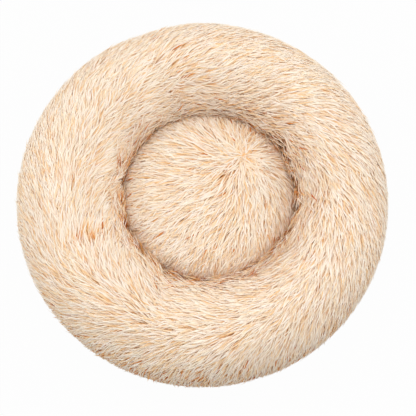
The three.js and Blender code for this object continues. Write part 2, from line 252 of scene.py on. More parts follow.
@dataclass(frozen=True, kw_only=True)
class Finish:
    """A surface finish. Each kind says how its colour, roughness and relief vary."""

    name: str
    metallic: float = 0.0
    sheen: float = 0.0
    shine: float = 0.5

    def material(self) -> bpy.types.Material:
        """Gives the finish's material, which is made once.

        Returns:
            The material.
        """
        made = bpy.data.materials.get(self.name)
        if made:
            return made
        made = bpy.data.materials.new(self.name)
        made.use_nodes = True
        tree = Tree(made.node_tree)
        shader = made.node_tree.nodes["Principled BSDF"]
        shader.inputs["Metallic"].default_value = self.metallic
        shader.inputs["Sheen Weight"].default_value = self.sheen
        shader.inputs["Specular IOR Level"].default_value = self.shine
        for name, socket in self.vary(tree).items():
            tree.nodes.links.new(socket.end, shader.inputs[name])
        return made

    def vary(self, tree: Tree) -> dict[str, Socket]:
        """Builds what changes over the surface, by the name of the shader's input that it drives."""
        raise NotImplementedError


@dataclass(frozen=True, kw_only=True)
class PileFinish(Finish):
    """Long plush pile: dark at the roots, pale towards the tips, and no two locks quite alike.

    The darker, warmer roots and lower layers are painted shade, the shade between the locks. The colour map
    has a narrow band for each lock's rise, twice over: first for open pile, then for pile with darker painted
    shade, in creases and low on the wall. Each lock is coloured along its length, by the layer that it lies
    in, and by a chance tint.
    """

    name: str = "plush_pile"
    sheen: float = 0.06
    shine: float = 0.25
    bands: int = 96
    golden: ClassVar[Colour] = colour(249, 220, 178)
    plain: ClassVar[Colour] = colour(254, 254, 254)
    # Painted shade: the roots are darker and warmer, for the shade between the locks.
    length: Stops = (
        (0.0, colour(240, 182, 116)),
        (0.22, colour(249, 226, 198)),
        (0.52, colour(251, 249, 248)),
        (1.0, colour(252, 252, 254)),
    )
    # Painted shade: the lower layers are darker and warmer, for the shade under the top locks.
    layer: Stops = ((0.0, colour(252, 212, 160)), (0.35, colour(253, 241, 226)), (0.7, plain))
    tint: Stops = (
        (0.0, colour(255, 251, 242)),
        (0.35, colour(255, 252, 250)),
        (0.7, colour(253, 251, 240)),
        (0.88, golden),
    )
    # Painted shade: darker, warmer colours for locks in creases, in the well, low on the wall, at seams and
    # along the parting.
    deep_length: Stops = (
        (0.0, colour(134, 78, 28)),
        (0.5, colour(232, 180, 116)),
        (0.9, colour(255, 241, 212)),
    )
    deep_layer: Stops = ((0.25, colour(204, 146, 80)), (0.5, colour(246, 208, 150)), (0.7, plain))
    deep_tint: Stops = ((0.25, colour(222, 164, 94)), (0.35, golden), (0.55, plain))
    streak_shade: Colour = colour(246, 226, 197)
    streaks: float = 3.0
    contrast: float = 1.7
    rough: tuple[float, float] = (0.5, 0.2)

    def vary(self, tree: Tree) -> dict[str, Socket]:
        """Builds the colours of the locks from their own map: their rise across, root to tip upwards.

        Args:
            tree: The material's node tree.

        Returns:
            The shader's inputs, by name.
        """
        across, along, _ = tree.arrow("ShaderNodeUVMap", {"uv_map": Pile.MAP}).parts()
        band = (across * (2 * self.bands)).floor()
        # The second set of bands holds the locks painted with shade.
        deep = band > (self.bands - 0.5)
        rise = (band - deep * self.bands) / self.bands
        tone = tree.node("ShaderNodeTexWhiteNoise", {"noise_dimensions": "1D"}, {"W": band}, "Value")
        looks = (
            (along, self.length, self.deep_length),
            (rise, self.layer, self.deep_layer),
            (tone, self.tint, self.deep_tint),
        )
        length, layer, tint = (
            tree.blend(deep, tree.ramp(value, open_stops), tree.ramp(value, shade_stops))
            for value, open_stops, shade_stops in looks
        )
        tinted = tree.blend(1.0, tree.blend(1.0, length, layer, "MULTIPLY"), tint, "MULTIPLY")
        shaded = tree.blend(1.0, tinted, self.streak_shade, "MULTIPLY")
        fibres = tree.vector(across * (2 * self.bands * self.streaks), along)
        streak = ((tree.noise(fibres, 1.0) - 0.5) * self.contrast + 0.5).at_least(0.0)
        return {
            "Base Color": tree.blend(streak, tinted, shaded),
            "Roughness": self.rough[0] + streak * self.rough[1],
        }


@dataclass(frozen=True, kw_only=True)
class PatternFinish(Finish):
    """A finish with a raised pattern: its colour, roughness and relief go from its gaps to its crowns.

    The first roughness is that of the gaps, and the second is how much more the crowns have.
    """

    gap: Colour
    crown: Colour
    rough: tuple[float, float]
    depth: float

    def vary(self, tree: Tree) -> dict[str, Socket]:
        """Builds the surface from the pattern alone."""
        pattern = self.pattern(tree)
        return self.dress(tree, pattern, tree.blend(pattern, self.gap, self.crown))

    def pattern(self, tree: Tree) -> Socket:
        """Builds the pattern, from 0 in its gaps to 1 on its crowns."""
        raise NotImplementedError

    def dress(self, tree: Tree, pattern: Socket, shade: Socket) -> dict[str, Socket]:
        """Builds the roughness and the relief of a pattern.

        Args:
            tree: The material's node tree.
            pattern: The pattern.
            shade: The colour of the surface.

        Returns:
            The shader's inputs, by name.
        """
        inputs = {"Height": pattern, "Distance": self.depth, "Strength": 1.0}
        return {
            "Base Color": shade,
            "Roughness": self.rough[0] + pattern * self.rough[1],
            "Normal": tree.node("ShaderNodeBump", {}, inputs),
        }


@dataclass(frozen=True, kw_only=True)
class KnitFinish(PatternFinish):
    """Knitted cloth with fine ribs. At a scale of 1, the node's wave turns WAVE_RATE radians a metre."""

    WAVE_RATE: ClassVar[float] = 20
    stitch: float = 1.4 * MM
    wobble: float = 1.5
    wobble_rate: float = 4.0

    def pattern(self, tree: Tree) -> Socket:
        """Builds the ribs, which run round the piece.

        Args:
            tree: The material's node tree.

        Returns:
            The pattern.
        """
        settings = {"wave_type": "RINGS", "rings_direction": "Z"}
        inputs = {
            "Vector": tree.place(),
            "Scale": 1 / (self.WAVE_RATE * self.stitch),
            "Distortion": self.wobble,
            "Detail Scale": self.wobble_rate,
        }
        return tree.node("ShaderNodeTexWave", settings, inputs, "Fac")


@dataclass(frozen=True, kw_only=True)
class WovenFinish(PatternFinish):
    """Plain-woven cloth: warp and weft pass over each other like a chequerboard. The crown is the warp."""

    weft: Colour = colour(190, 164, 131)
    thread: float = 0.9 * MM
    roundness: float = 0.35
    slub: float = 90.0
    slub_detail: float = 3.0
    slub_share: float = 0.5

    def vary(self, tree: Tree) -> dict[str, Socket]:
        """Builds the threads, with slubs where the yarn is thicker.

        Args:
            tree: The material's node tree.

        Returns:
            The shader's inputs, by name.
        """
        x, y, _ = tree.place().parts()
        turn = math.pi / self.thread
        across, along = (x * turn).sine(), (y * turn).sine()
        crown = (across.size() * along.size()) ** self.roundness
        yarn = tree.blend((across * along) > 0.0, self.crown, self.weft)
        slubs = tree.noise(tree.place(), self.slub, Detail=self.slub_detail)
        mottled = tree.blend(slubs * self.slub_share, yarn, self.gap)
        return self.dress(tree, crown, tree.blend(crown, self.gap, mottled))


@dataclass(frozen=True, kw_only=True)
class TapeFinish(PatternFinish):
    """Herringbone-woven zip tape: its slanted ribs turn back every few threads."""

    rib: float = 0.8 * MM
    stripe: float = 2.2 * MM

    def pattern(self, tree: Tree) -> Socket:
        """Builds the slanted ribs, mirrored from stripe to stripe.

        Args:
            tree: The material's node tree.

        Returns:
            The pattern.
        """
        x, y, _ = tree.place().parts()
        stripes = y / (2 * self.stripe)
        fold = (stripes - stripes.floor() - 0.5).size() * (2 * self.stripe)
        return 0.5 + 0.5 * ((x + fold) * (2 * math.pi / self.rib)).sine()


@dataclass(frozen=True, kw_only=True)
class CloudyFinish(PatternFinish):
    """Moulded plastic or rubber, or tangled fibre: all of them vary in soft clouds."""

    clouds: float
    detail: float = 3.0
    grain: float = 0.5
    swirl: float = 0.0

    def pattern(self, tree: Tree) -> Socket:
        """Builds the clouds."""
        more = {"Detail": self.detail, "Roughness": self.grain, "Distortion": self.swirl}
        return tree.noise(tree.place(), self.clouds, **more)


@dataclass(frozen=True, kw_only=True)
class MetalFinish(PatternFinish):
    """Plated zinc, tumbled satin, with fine scratches along the zip."""

    metallic: float = 1.0
    scratches: float = 900.0
    drawn_out: tuple[float, float, float] = (0.12, 1.0, 1.0)
    clouds: float = 180.0

    def vary(self, tree: Tree) -> dict[str, Socket]:
        """Builds scratches that are drawn out along X, over soft cloudy patches.

        Args:
            tree: The material's node tree.

        Returns:
            The shader's inputs, by name.
        """
        drawn = tree.node("ShaderNodeMapping", {}, {"Vector": tree.place(), "Scale": self.drawn_out})
        cloud = tree.noise(tree.place(), self.clouds)
        return self.dress(tree, tree.noise(drawn, self.scratches), tree.blend(cloud, self.gap, self.crown))


@dataclass(frozen=True, kw_only=True)
class ThreadFinish(PatternFinish):
    """Twisted sewing thread."""

    twist: float = 0.5 * MM

    def pattern(self, tree: Tree) -> Socket:
        """Builds the slanted plies of the twist."""
        x, y, z = tree.place().parts()
        return 0.5 + 0.5 * ((x + y + z) * (2 * math.pi / self.twist)).sine()


PILE = PileFinish()
# The backing's dark brown is painted shade: it shows between the roots of the pile, and where the crease
# round the seat lies open.
BACKING = KnitFinish(
    name="plush_backing",
    gap=colour(118, 66, 34),
    crown=colour(178, 110, 62),
    rough=(0.85, 0.1),
    depth=0.3 * MM,
)
BASE_CLOTH = WovenFinish(
    name="base_cloth",
    sheen=0.1,
    gap=colour(140, 114, 84),
    crown=colour(208, 184, 152),
    rough=(0.9, -0.12),
    depth=0.25 * MM,
)
TAPE = TapeFinish(
    name="zip_tape",
    sheen=0.1,
    gap=colour(160, 132, 100),
    crown=colour(222, 200, 170),
    rough=(0.85, -0.1),
    depth=0.2 * MM,
)
TEETH = CloudyFinish(
    name="zip_teeth",
    gap=colour(229, 208, 178),
    crown=colour(214, 190, 158),
    rough=(0.38, 0.15),
    depth=0.04 * MM,
    clouds=600.0,
    grain=0.6,
)
RUBBER = CloudyFinish(
    name="grip_rubber",
    gap=colour(176, 148, 112),
    crown=colour(160, 132, 98),
    rough=(0.55, 0.15),
    depth=0.04 * MM,
    clouds=400.0,
    grain=0.6,
)
METAL = MetalFinish(
    name="zip_metal",
    gap=colour(205, 205, 208),
    crown=colour(165, 165, 170),
    rough=(0.24, 0.16),
    depth=0.01 * MM,
)
FIBRE = CloudyFinish(
    name="fibre_fill",
    sheen=0.2,
    gap=colour(222, 219, 212),
    crown=colour(248, 247, 243),
    rough=(0.85, 0.1),
    depth=1.5 * MM,
    clouds=60.0,
    detail=6.0,
    swirl=1.2,
)
LINER = CloudyFinish(
    name="liner_cloth",
    sheen=0.1,
    gap=colour(212, 208, 200),
    crown=colour(236, 233, 226),
    rough=(0.85, 0.1),
    depth=0.2 * MM,
    clouds=220.0,
    detail=6.0,
    swirl=1.2,
)
THREAD = ThreadFinish(
    name="sewing_thread",
    gap=colour(176, 150, 118),
    crown=colour(232, 214, 186),
    rough=(0.6, 0.1),
    depth=0.06 * MM,
)


# Making and declaring pieces


def new_object(name: str, data: bpy.types.ID) -> bpy.types.Object:
    """Puts a mesh, a lamp or a camera into the scene.

    Args:
        name: The object's name.
        data: What it is made of.

    Returns:
        The object.
    """
    made = bpy.data.objects.new(name, data)
    bpy.context.scene.collection.objects.link(made)
    return made


def mesh_of(
    name: str, points: Sequence[Any], faces: Sequence[Any], edges: Sequence[Any] = ()
) -> bpy.types.Mesh:
    """Makes a smooth-shaded mesh.

    Args:
        name: The mesh's name.
        points: Its vertices.
        faces: Its faces, as vertex numbers.
        edges: Its loose edges, as vertex numbers.

    Returns:
        The mesh.
    """
    mesh = bpy.data.meshes.new(name)
    mesh.from_pydata(points, edges, faces)
    mesh.shade_smooth()
    mesh.update()
    return mesh


@contextmanager
def at_work(mesh: bpy.types.Mesh, result: bpy.types.Mesh | None = None) -> Iterator[bmesh.types.BMesh]:
    """Opens a mesh, so that its faces, edges and vertices can be changed.

    Args:
        mesh: The mesh.
        result: The mesh that gets the new shape. The same one, if not given.

    Yields:
        The open mesh.
    """
    work = bmesh.new()
    work.from_mesh(mesh)
    yield work
    work.to_mesh(mesh if result is None else result)
    work.free()


def woven_faces(rows: int, spokes: int, joined: bool = False) -> list[tuple[int, int, int, int]]:
    """Gives the faces between rows of points, each of which runs once round.

    Args:
        rows: How many rows there are.
        spokes: How many points each row has.
        joined: Whether the last row joins the first.

    Returns:
        The faces, as vertex numbers.
    """
    faces = []
    for row in range(rows if joined else rows - 1):
        after = (row + 1) % rows * spokes
        for spoke in range(spokes):
            beside = (spoke + 1) % spokes
            faces.append((row * spokes + spoke, after + spoke, after + beside, row * spokes + beside))
    return faces


def disc_of(name: str, rows: Sequence[tuple[float, float, float, float]], spokes: int) -> bpy.types.Mesh:
    """Makes a round sheet from its middle outwards.

    Args:
        name: The mesh's name.
        rows: The radius, the height, and the middle along X and Y, of each ring of points.
        spokes: How many points each ring has.

    Returns:
        The mesh, with one point in its middle.
    """
    turns = [2 * math.pi * spoke / spokes for spoke in range(spokes)]
    points = [
        (x + radius * math.cos(turn), y + radius * math.sin(turn), height)
        for radius, height, x, y in rows
        for turn in turns
    ]
    mesh = mesh_of(name, points, woven_faces(len(rows), spokes))
    with at_work(mesh) as work:
        bmesh.ops.remove_doubles(work, verts=work.verts, dist=SAME_PLACE)
    mesh.shade_smooth()
    return mesh


def settle(piece: bpy.types.Object) -> None:
    """Turns what a piece's modifiers make into its plain mesh, and removes them.

    Args:
        piece: The piece.
    """
    graph = bpy.context.evaluated_depsgraph_get()
    made = bpy.data.meshes.new_from_object(piece.evaluated_get(graph), depsgraph=graph)
    made.name = piece.name
    piece.modifiers.clear()
    old = piece.data
    piece.data = made
    bpy.data.meshes.remove(old)


def thicken(piece: bpy.types.Object, thickness: float, inwards: bool = True) -> None:
    """Gives a piece of cloth its thickness.

    Args:
        piece: The piece.
        thickness: How thick it is.
        inwards: Whether the thickness goes in from its face, or out.
    """
    wall = piece.modifiers.new("Wall", "SOLIDIFY")
    wall.thickness = thickness
    wall.offset = -1 if inwards else 1
    settle(piece)
    forget(piece.data)
    piece.data.shade_smooth()


def forget(mesh: bpy.types.Mesh) -> None:
    """Removes what was stored on a mesh for its making.

    Args:
        mesh: The mesh.
    """
    for name in [item.name for item in mesh.attributes]:
        if name in Pile.STORED or name.startswith("lock_"):
            mesh.attributes.remove(mesh.attributes[name])


def declare(
    piece: bpy.types.Object, finish: Finish, nodes: Sequence[str] = ()
) -> bpy.types.Object:
    """Gives a finished piece its material, puts it on the bed's body, and hides the solids that it replaces.

    Args:
        piece: The piece.
        finish: What it is made of.
        nodes: The solids that it replaces.

    Returns:
        The piece.
    """
    piece.data.materials.clear()
    piece.data.materials.append(finish.material())
    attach(piece, "bed")
    if nodes:
        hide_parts(*nodes)
    log.info("%s: %d faces", piece.name, len(piece.data.polygons))
    return piece


# Numbers at the vertices of a mesh


def rows_of(items: Any, value: str) -> np.ndarray:
    """Reads a vector of each of a mesh's items.

    Args:
        items: The items.
        value: The vector's name.

    Returns:
        The vectors, one row each.
    """
    flat = np.empty(len(items) * 3)
    items.foreach_get(value, flat)
    return flat.reshape(-1, 3)


def coordinates(mesh: bpy.types.Mesh) -> np.ndarray:
    """Reads a mesh's vertices, one row each."""
    return rows_of(mesh.vertices, "co")


def normals(mesh: bpy.types.Mesh) -> np.ndarray:
    """Reads a mesh's vertex normals, one row each."""
    return rows_of(mesh.vertex_normals, "vector")


def unit(rows: np.ndarray) -> np.ndarray:
    """Gives each row a length of 1."""
    return rows / np.maximum(np.linalg.norm(rows, axis=1, keepdims=True), TINY)


def laid(ways: np.ndarray, ups: np.ndarray) -> np.ndarray:
    """Lays each way along a surface with the given normals, with a length of 1."""
    return unit(ways - ups * np.sum(ways * ups, axis=1, keepdims=True))


def smooth(share: Any) -> Any:
    """Eases a share from 0 to 1 at both ends."""
    held = np.clip(share, 0, 1)
    return held * held * (3 - 2 * held)


def apart(bearings: Any, place: float) -> Any:
    """Gives how many degrees bearings are from a place, the shorter way round."""
    return np.abs((bearings - place + 180) % 360 - 180)


def store(mesh: bpy.types.Mesh, name: str, values: np.ndarray) -> None:
    """Stores a number or a vector at each vertex.

    Args:
        mesh: The mesh.
        name: The attribute's name.
        values: One number or one row for each vertex.
    """
    vector = values.ndim > 1
    made = mesh.attributes.new(name, "FLOAT_VECTOR" if vector else "FLOAT", "POINT")
    made.data.foreach_set("vector" if vector else "value", values.ravel())


class Curve(NamedTuple):
    """A value that runs straight from knot to knot, and stays level beyond them."""

    knots: tuple[float, ...]
    values: tuple[float, ...]

    def at(self, places: Any) -> Any:
        """Reads the value at one place, or at many."""
        return np.interp(places, self.knots, self.values)


@dataclass(frozen=True)
class Swelling:
    """How a stuffed cover blows up as cloth, in metres, kilograms and seconds."""

    frames: int = 20
    pressure: float = 4
    stiffness: float = 12
    mass: float = 0.2
    quality: int = 4
    reach: float = 0.006

    def swell(self, piece: bpy.types.Object, held: Sequence[int]) -> None:
        """Blows a piece up, held at its seams, and keeps the result.

        Args:
            piece: The piece.
            held: The vertices that its seams hold.
        """
        start = coordinates(piece.data)
        group = piece.vertex_groups.new(name="seams")
        group.add([int(index) for index in held], 1.0, "REPLACE")
        cloth = piece.modifiers.new("Stuffing", "CLOTH")
        cloth.settings.quality = self.quality
        cloth.settings.mass = self.mass
        cloth.settings.tension_stiffness = self.stiffness
        cloth.settings.compression_stiffness = self.stiffness
        cloth.settings.use_pressure = True
        cloth.settings.uniform_pressure_force = self.pressure
        cloth.settings.effector_weights.gravity = 0
        cloth.settings.vertex_group_mass = group.name
        for number in range(1, self.frames + 1):
            bpy.context.scene.frame_set(number)
        graph = bpy.context.evaluated_depsgraph_get()
        moved = coordinates(piece.evaluated_get(graph).data) - start
        length = np.linalg.norm(moved, axis=1, keepdims=True)
        capped = start + moved * np.minimum(1, self.reach / np.maximum(length, TINY))
        piece.modifiers.remove(cloth)
        piece.vertex_groups.clear()
        bpy.context.scene.frame_set(1)
        piece.data.vertices.foreach_set("co", capped.ravel())
        piece.data.update()
        log.info("%s: swelled by %.1f mm at most", piece.name, length.max() / MM)


class Recipe:
    """Geometry nodes with named inputs, run on a piece and kept as its plain mesh."""

    KINDS: ClassVar[dict[str, str]] = {
        "Skin": "NodeSocketObject",
        "Seed": "NodeSocketInt",
        "Finish": "NodeSocketMaterial",
    }

    def __init__(self, name: str, inputs: Sequence[str]) -> None:
        """Starts the nodes.

        Args:
            name: The node group's name.
            inputs: The names of its inputs, each a length or number unless KINDS says otherwise.
        """
        self.group = bpy.data.node_groups.new(name, "GeometryNodeTree")
        face = self.group.interface
        face.new_socket("Geometry", in_out="INPUT", socket_type="NodeSocketGeometry")
        for title in (*inputs, "Finish"):
            face.new_socket(title, in_out="INPUT", socket_type=self.KINDS.get(title, "NodeSocketFloat"))
        face.new_socket("Geometry", in_out="OUTPUT", socket_type="NodeSocketGeometry")
        self.tree = Tree(self.group)
        self.given = self.tree.node("NodeGroupInput")

    def scatter(self, points: Socket, shape: Socket, inputs: Mapping[str, Any] | None = None) -> Socket:
        """Sets a shape at each point and makes the copies real.

        Args:
            points: The points.
            shape: The shape.
            inputs: How each copy is turned and scaled, where it is.

        Returns:
            The copies.
        """
        placed = {"Points": points, "Instance": shape, **(inputs or {})}
        copies = self.tree.node("GeometryNodeInstanceOnPoints", {}, placed)
        return self.tree.node("GeometryNodeRealizeInstances", {}, {"Geometry": copies})

    def finish(self, geometry: Socket) -> None:
        """Ends the nodes: the geometry gets its finish and is the output.

        Args:
            geometry: The geometry.
        """
        inputs = {"Geometry": geometry, "Material": self.given.beside("Finish")}
        dressed = self.tree.node("GeometryNodeSetMaterial", {}, inputs)
        self.tree.node("NodeGroupOutput", {}, {"Geometry": dressed})

    def run(self, piece: bpy.types.Object, values: Mapping[str, Any]) -> None:
        """Runs the nodes on a piece.

        Args:
            piece: The piece.
            values: A value for each input, by name.
        """
        modifier = piece.modifiers.new(self.group.name, "NODES")
        modifier.node_group = self.group
        for item in self.group.interface.items_tree:
            if item.in_out == "INPUT" and item.name in values:
                modifier[item.identifier] = values[item.name]
        settle(piece)
        forget(piece.data)


# How the pile is combed


@dataclass
class Combing:
    """Which way the pile lies, as brushed on the ring and round the whorl on the seat.

    On the ring the pile runs clockwise. Each row of outward_turns gives, at one bearing, how many degrees it
    turns away from the well: beside the well, on the crest, and towards the outer edge. Rows are a twelfth of
    a turn apart, anticlockwise from +X. The angles are those round the ring's section at which the turns
    hold, from the foot of the wall, over the outer edge, the crest and the inner slope, into the well.
    """

    outward_turns: tuple[tuple[float, float, float], ...] = (
        (0, 20, 35),
        (5, 35, 35),
        (25, 35, 20),
        (5, 20, 20),
        (-15, 15, 10),
        (-20, 15, 10),
        (-50, 5, 30),
        (-60, -15, 5),
        (-45, 5, 58),
        (-15, -5, 64),
        (-40, 0, 56),
        (-20, 10, 30),
    )
    angles: tuple[float, ...] = (-60, -30, 5, 45, 90, 140, 180)
    wall_turns: tuple[float, float, float] = (86, 84, 78)
    well_turn: float = 4
    well_least: float = 30
    whorl: tuple[float, float] = (0.063, 0.066)
    whorl_swirl: float = 14
    whorl_size: float = 0.030

    def ring_turns(self, bearings: np.ndarray, angles: np.ndarray) -> np.ndarray:
        """Gives how far the pile turns outwards from clockwise.

        Args:
            bearings: Bearings round the ring, in degrees.
            angles: Angles round the ring's section, in degrees, from its outermost place upwards.

        Returns:
            The turns, in degrees.
        """
        table = np.array(self.outward_turns, float)
        row = (bearings / 360 * len(table)) % len(table)
        low = np.floor(row).astype(int)
        share = smooth(row - low)[:, None]
        at_row = table[low % len(table)] * (1 - share) + table[(low + 1) % len(table)] * share
        turns = np.empty(len(bearings))
        for index, (inner, crest, outer) in enumerate(at_row):
            well = max(inner + self.well_turn, self.well_least)
            values = [*self.wall_turns, outer, crest, inner, well]
            turns[index] = np.interp(angles[index], self.angles, values)
        return turns

    def ring_ways(self, bearings: np.ndarray, angles: np.ndarray, ups: np.ndarray) -> np.ndarray:
        """Gives the way that the ring's pile lies.

        Args:
            bearings: Bearings round the ring, in degrees.
            angles: Angles round its section, in degrees.
            ups: The normals there.

        Returns:
            A unit vector along the surface for each place.
        """
        turns = np.radians(self.ring_turns(bearings, angles))
        turn, tilt = np.radians(bearings), np.radians(angles)
        clockwise = np.column_stack([np.sin(turn), -np.cos(turn), np.zeros(len(turn))])
        outwards = np.column_stack([np.cos(turn) * np.sin(tilt), np.sin(turn) * np.sin(tilt), -np.cos(tilt)])
        return laid(clockwise * np.cos(turns)[:, None] + outwards * np.sin(turns)[:, None], ups)

    def seat_ways(self, points: np.ndarray, ups: np.ndarray) -> np.ndarray:
        """Gives the way that the seat's pile lies: away from the whorl, with a slight swirl.

        Args:
            points: Places on the seat.
            ups: The normals there.

        Returns:
            A unit vector along the surface for each place.
        """
        east, north, _ = (points - np.array([*self.whorl, 0])).T
        swirl = math.radians(self.whorl_swirl)
        across = east * math.cos(swirl) + north * math.sin(swirl)
        along = north * math.cos(swirl) - east * math.sin(swirl)
        return laid(unit(np.column_stack([across, along, np.zeros(len(points))])), ups)

    def seat_looseness(self, points: np.ndarray) -> np.ndarray:
        """Gives how freely the pile falls, from 0, all one way, to 1, any way, at the whorl."""
        away = np.linalg.norm(points[:, :2] - np.array(self.whorl), axis=1)
        return 1 - smooth(away / self.whorl_size)


@dataclass
class Coat:
    """How thickly the pile grows, how far it stands up, and where shade is painted into its colour.

    The ring's curves run over the angle round its section, in degrees, and the seat's over the distance from
    its middle, as a share of its radius, apart from seat_growth, which runs over the height. The openings
    are places where the crease round the seat lies open, with thinner pile and painted shade: the bearing and
    the half width of each. The parting is a line across the ring from which the pile is brushed both ways;
    shade is painted along it, and a little along the seams. Towards the front, the painted shade low on the
    wall is deeper and reaches higher, by front_lift degrees. Towards the back, the painted shade in the well
    is lighter, by back_pale.
    """

    ring_growth: Curve = Curve(
        (-60, -40, 10, 55, 150, 172, 195, 210, 211),
        (0.45, 0.7, 0.8, 1, 1, 0.6, 0.4, 0.05, 0),
    )
    ring_loft: Curve = Curve((125, 165), (1, 1.8))
    ring_crease: Curve = Curve((147, 162), (0, 1))
    # Painted shade in the well, down the inner slope.
    ring_deep: Curve = Curve((140, 162, 180), (0, 0.35, 0.95))
    # Painted shade low on the wall, with its least share and how much more it has at the front.
    wall_deep: Curve = Curve((-8, 25), (1, 0))
    wall_share: tuple[float, float] = (0.09, 0.36)
    front_lift: float = 34
    front_power: float = 1.5
    back_pale: float = 0.8
    seat_growth: Curve = Curve((0.041, 0.060, 0.080), (0.01, 0.2, 1))
    seat_edge: Curve = Curve((0.85, 0.98), (1, 0.5))
    seat_loft: Curve = Curve((0.80, 0.98), (1, 1.8))
    seat_crease: Curve = Curve((0.9, 1), (0, 1))
    # Painted shade round the seat's rim, in the crease.
    seat_deep: Curve = Curve((0.90, 0.99), (0.02, 1))
    whorl_share: float = 3
    openings: tuple[tuple[float, float], ...] = (
        (-10, 4),
        (2, 4),
        (19, 3),
        (43, 3),
        (133, 3),
        (181, 5),
        (216, 6),
        (235, 3),
        (253, 4),
        (270, 5),
        (283, 4),
    )
    opening_bare: float = 0.9
    opening_loft: float = 1.3
    line_width: float = 3
    # Painted shade along the seams.
    seam_deep: float = 0.06
    parting: float = 209
    parting_reach: Curve = Curve((70, 90, 140, 155), (0, 1, 1, 0))
    # Painted shade along the parting.
    parting_deep: float = 0.4
    parting_loft: float = 0.8

    def opened(self, bearings: np.ndarray) -> np.ndarray:
        """Gives how far the crease round the seat lies open, from 0, shut, to 1, at each bearing."""
        away = [apart(bearings, place) / width for place, width in self.openings]
        return np.exp(-(np.min(away, axis=0) ** 2))

    def on_ring(
        self, mesh: bpy.types.Mesh, bearings: np.ndarray, angles: np.ndarray, off_seam: np.ndarray
    ) -> None:
        """Stores on the ring's backing how its pile grows, and where shade is painted into the pile.

        Args:
            mesh: The backing.
            bearings: Each vertex's bearing round the ring, in degrees.
            angles: Its angle round the section, in degrees.
            off_seam: How far it is from the nearest seam, in degrees.
        """
        opened = self.opened(bearings) * self.ring_crease.at(angles)
        parted = np.exp(-(((bearings - self.parting) / self.line_width) ** 2)) * self.parting_reach.at(angles)
        sewn = np.exp(-((off_seam / self.line_width) ** 2))
        front = np.maximum(0, -np.sin(np.radians(bearings))) ** self.front_power
        back = np.maximum(0, np.sin(np.radians(bearings)))
        least, more = self.wall_share
        # Painted shade: low on the wall, deeper and higher at the front; in the well, lighter at the back;
        # along the seams and the parting; and where the crease lies open.
        wall = self.wall_deep.at(angles - self.front_lift * front) * (least + more * front)
        well = self.ring_deep.at(angles) * (1 - self.back_pale * back)
        loft = self.ring_loft.at(angles) - self.opening_loft * opened - self.parting_loft * parted
        deep = [wall, well, self.seam_deep * sewn, self.parting_deep * parted, opened]
        store(mesh, Pile.LOFT, loft)
        store(mesh, Pile.SHARE, self.ring_growth.at(angles) * (1 - self.opening_bare * opened))
        store(mesh, Pile.LOOSE, np.zeros(len(bearings)))
        store(mesh, Pile.DEEP, np.max(deep, axis=0))

    def on_seat(self, mesh: bpy.types.Mesh, across: np.ndarray, loose: np.ndarray) -> None:
        """Stores on the seat's backing how its pile grows, and where shade is painted into the pile.

        Args:
            mesh: The backing.
            across: How far each vertex is from the middle, as a share of the seat's radius.
            loose: How freely its pile falls.
        """
        x, y, height = coordinates(mesh).T
        opened = self.opened(np.degrees(np.arctan2(y, x))) * self.seat_crease.at(across)
        share = self.seat_growth.at(height) * self.seat_edge.at(across) * (1 - self.opening_bare * opened)
        store(mesh, Pile.LOFT, self.seat_loft.at(across) - self.opening_loft * opened)
        store(mesh, Pile.SHARE, share * (1 + self.whorl_share * loose))
        store(mesh, Pile.LOOSE, loose)
        # Painted shade round the seat's rim and where the crease lies open.
        store(mesh, Pile.DEEP, np.maximum(self.seat_deep.at(across), opened))


# The plush


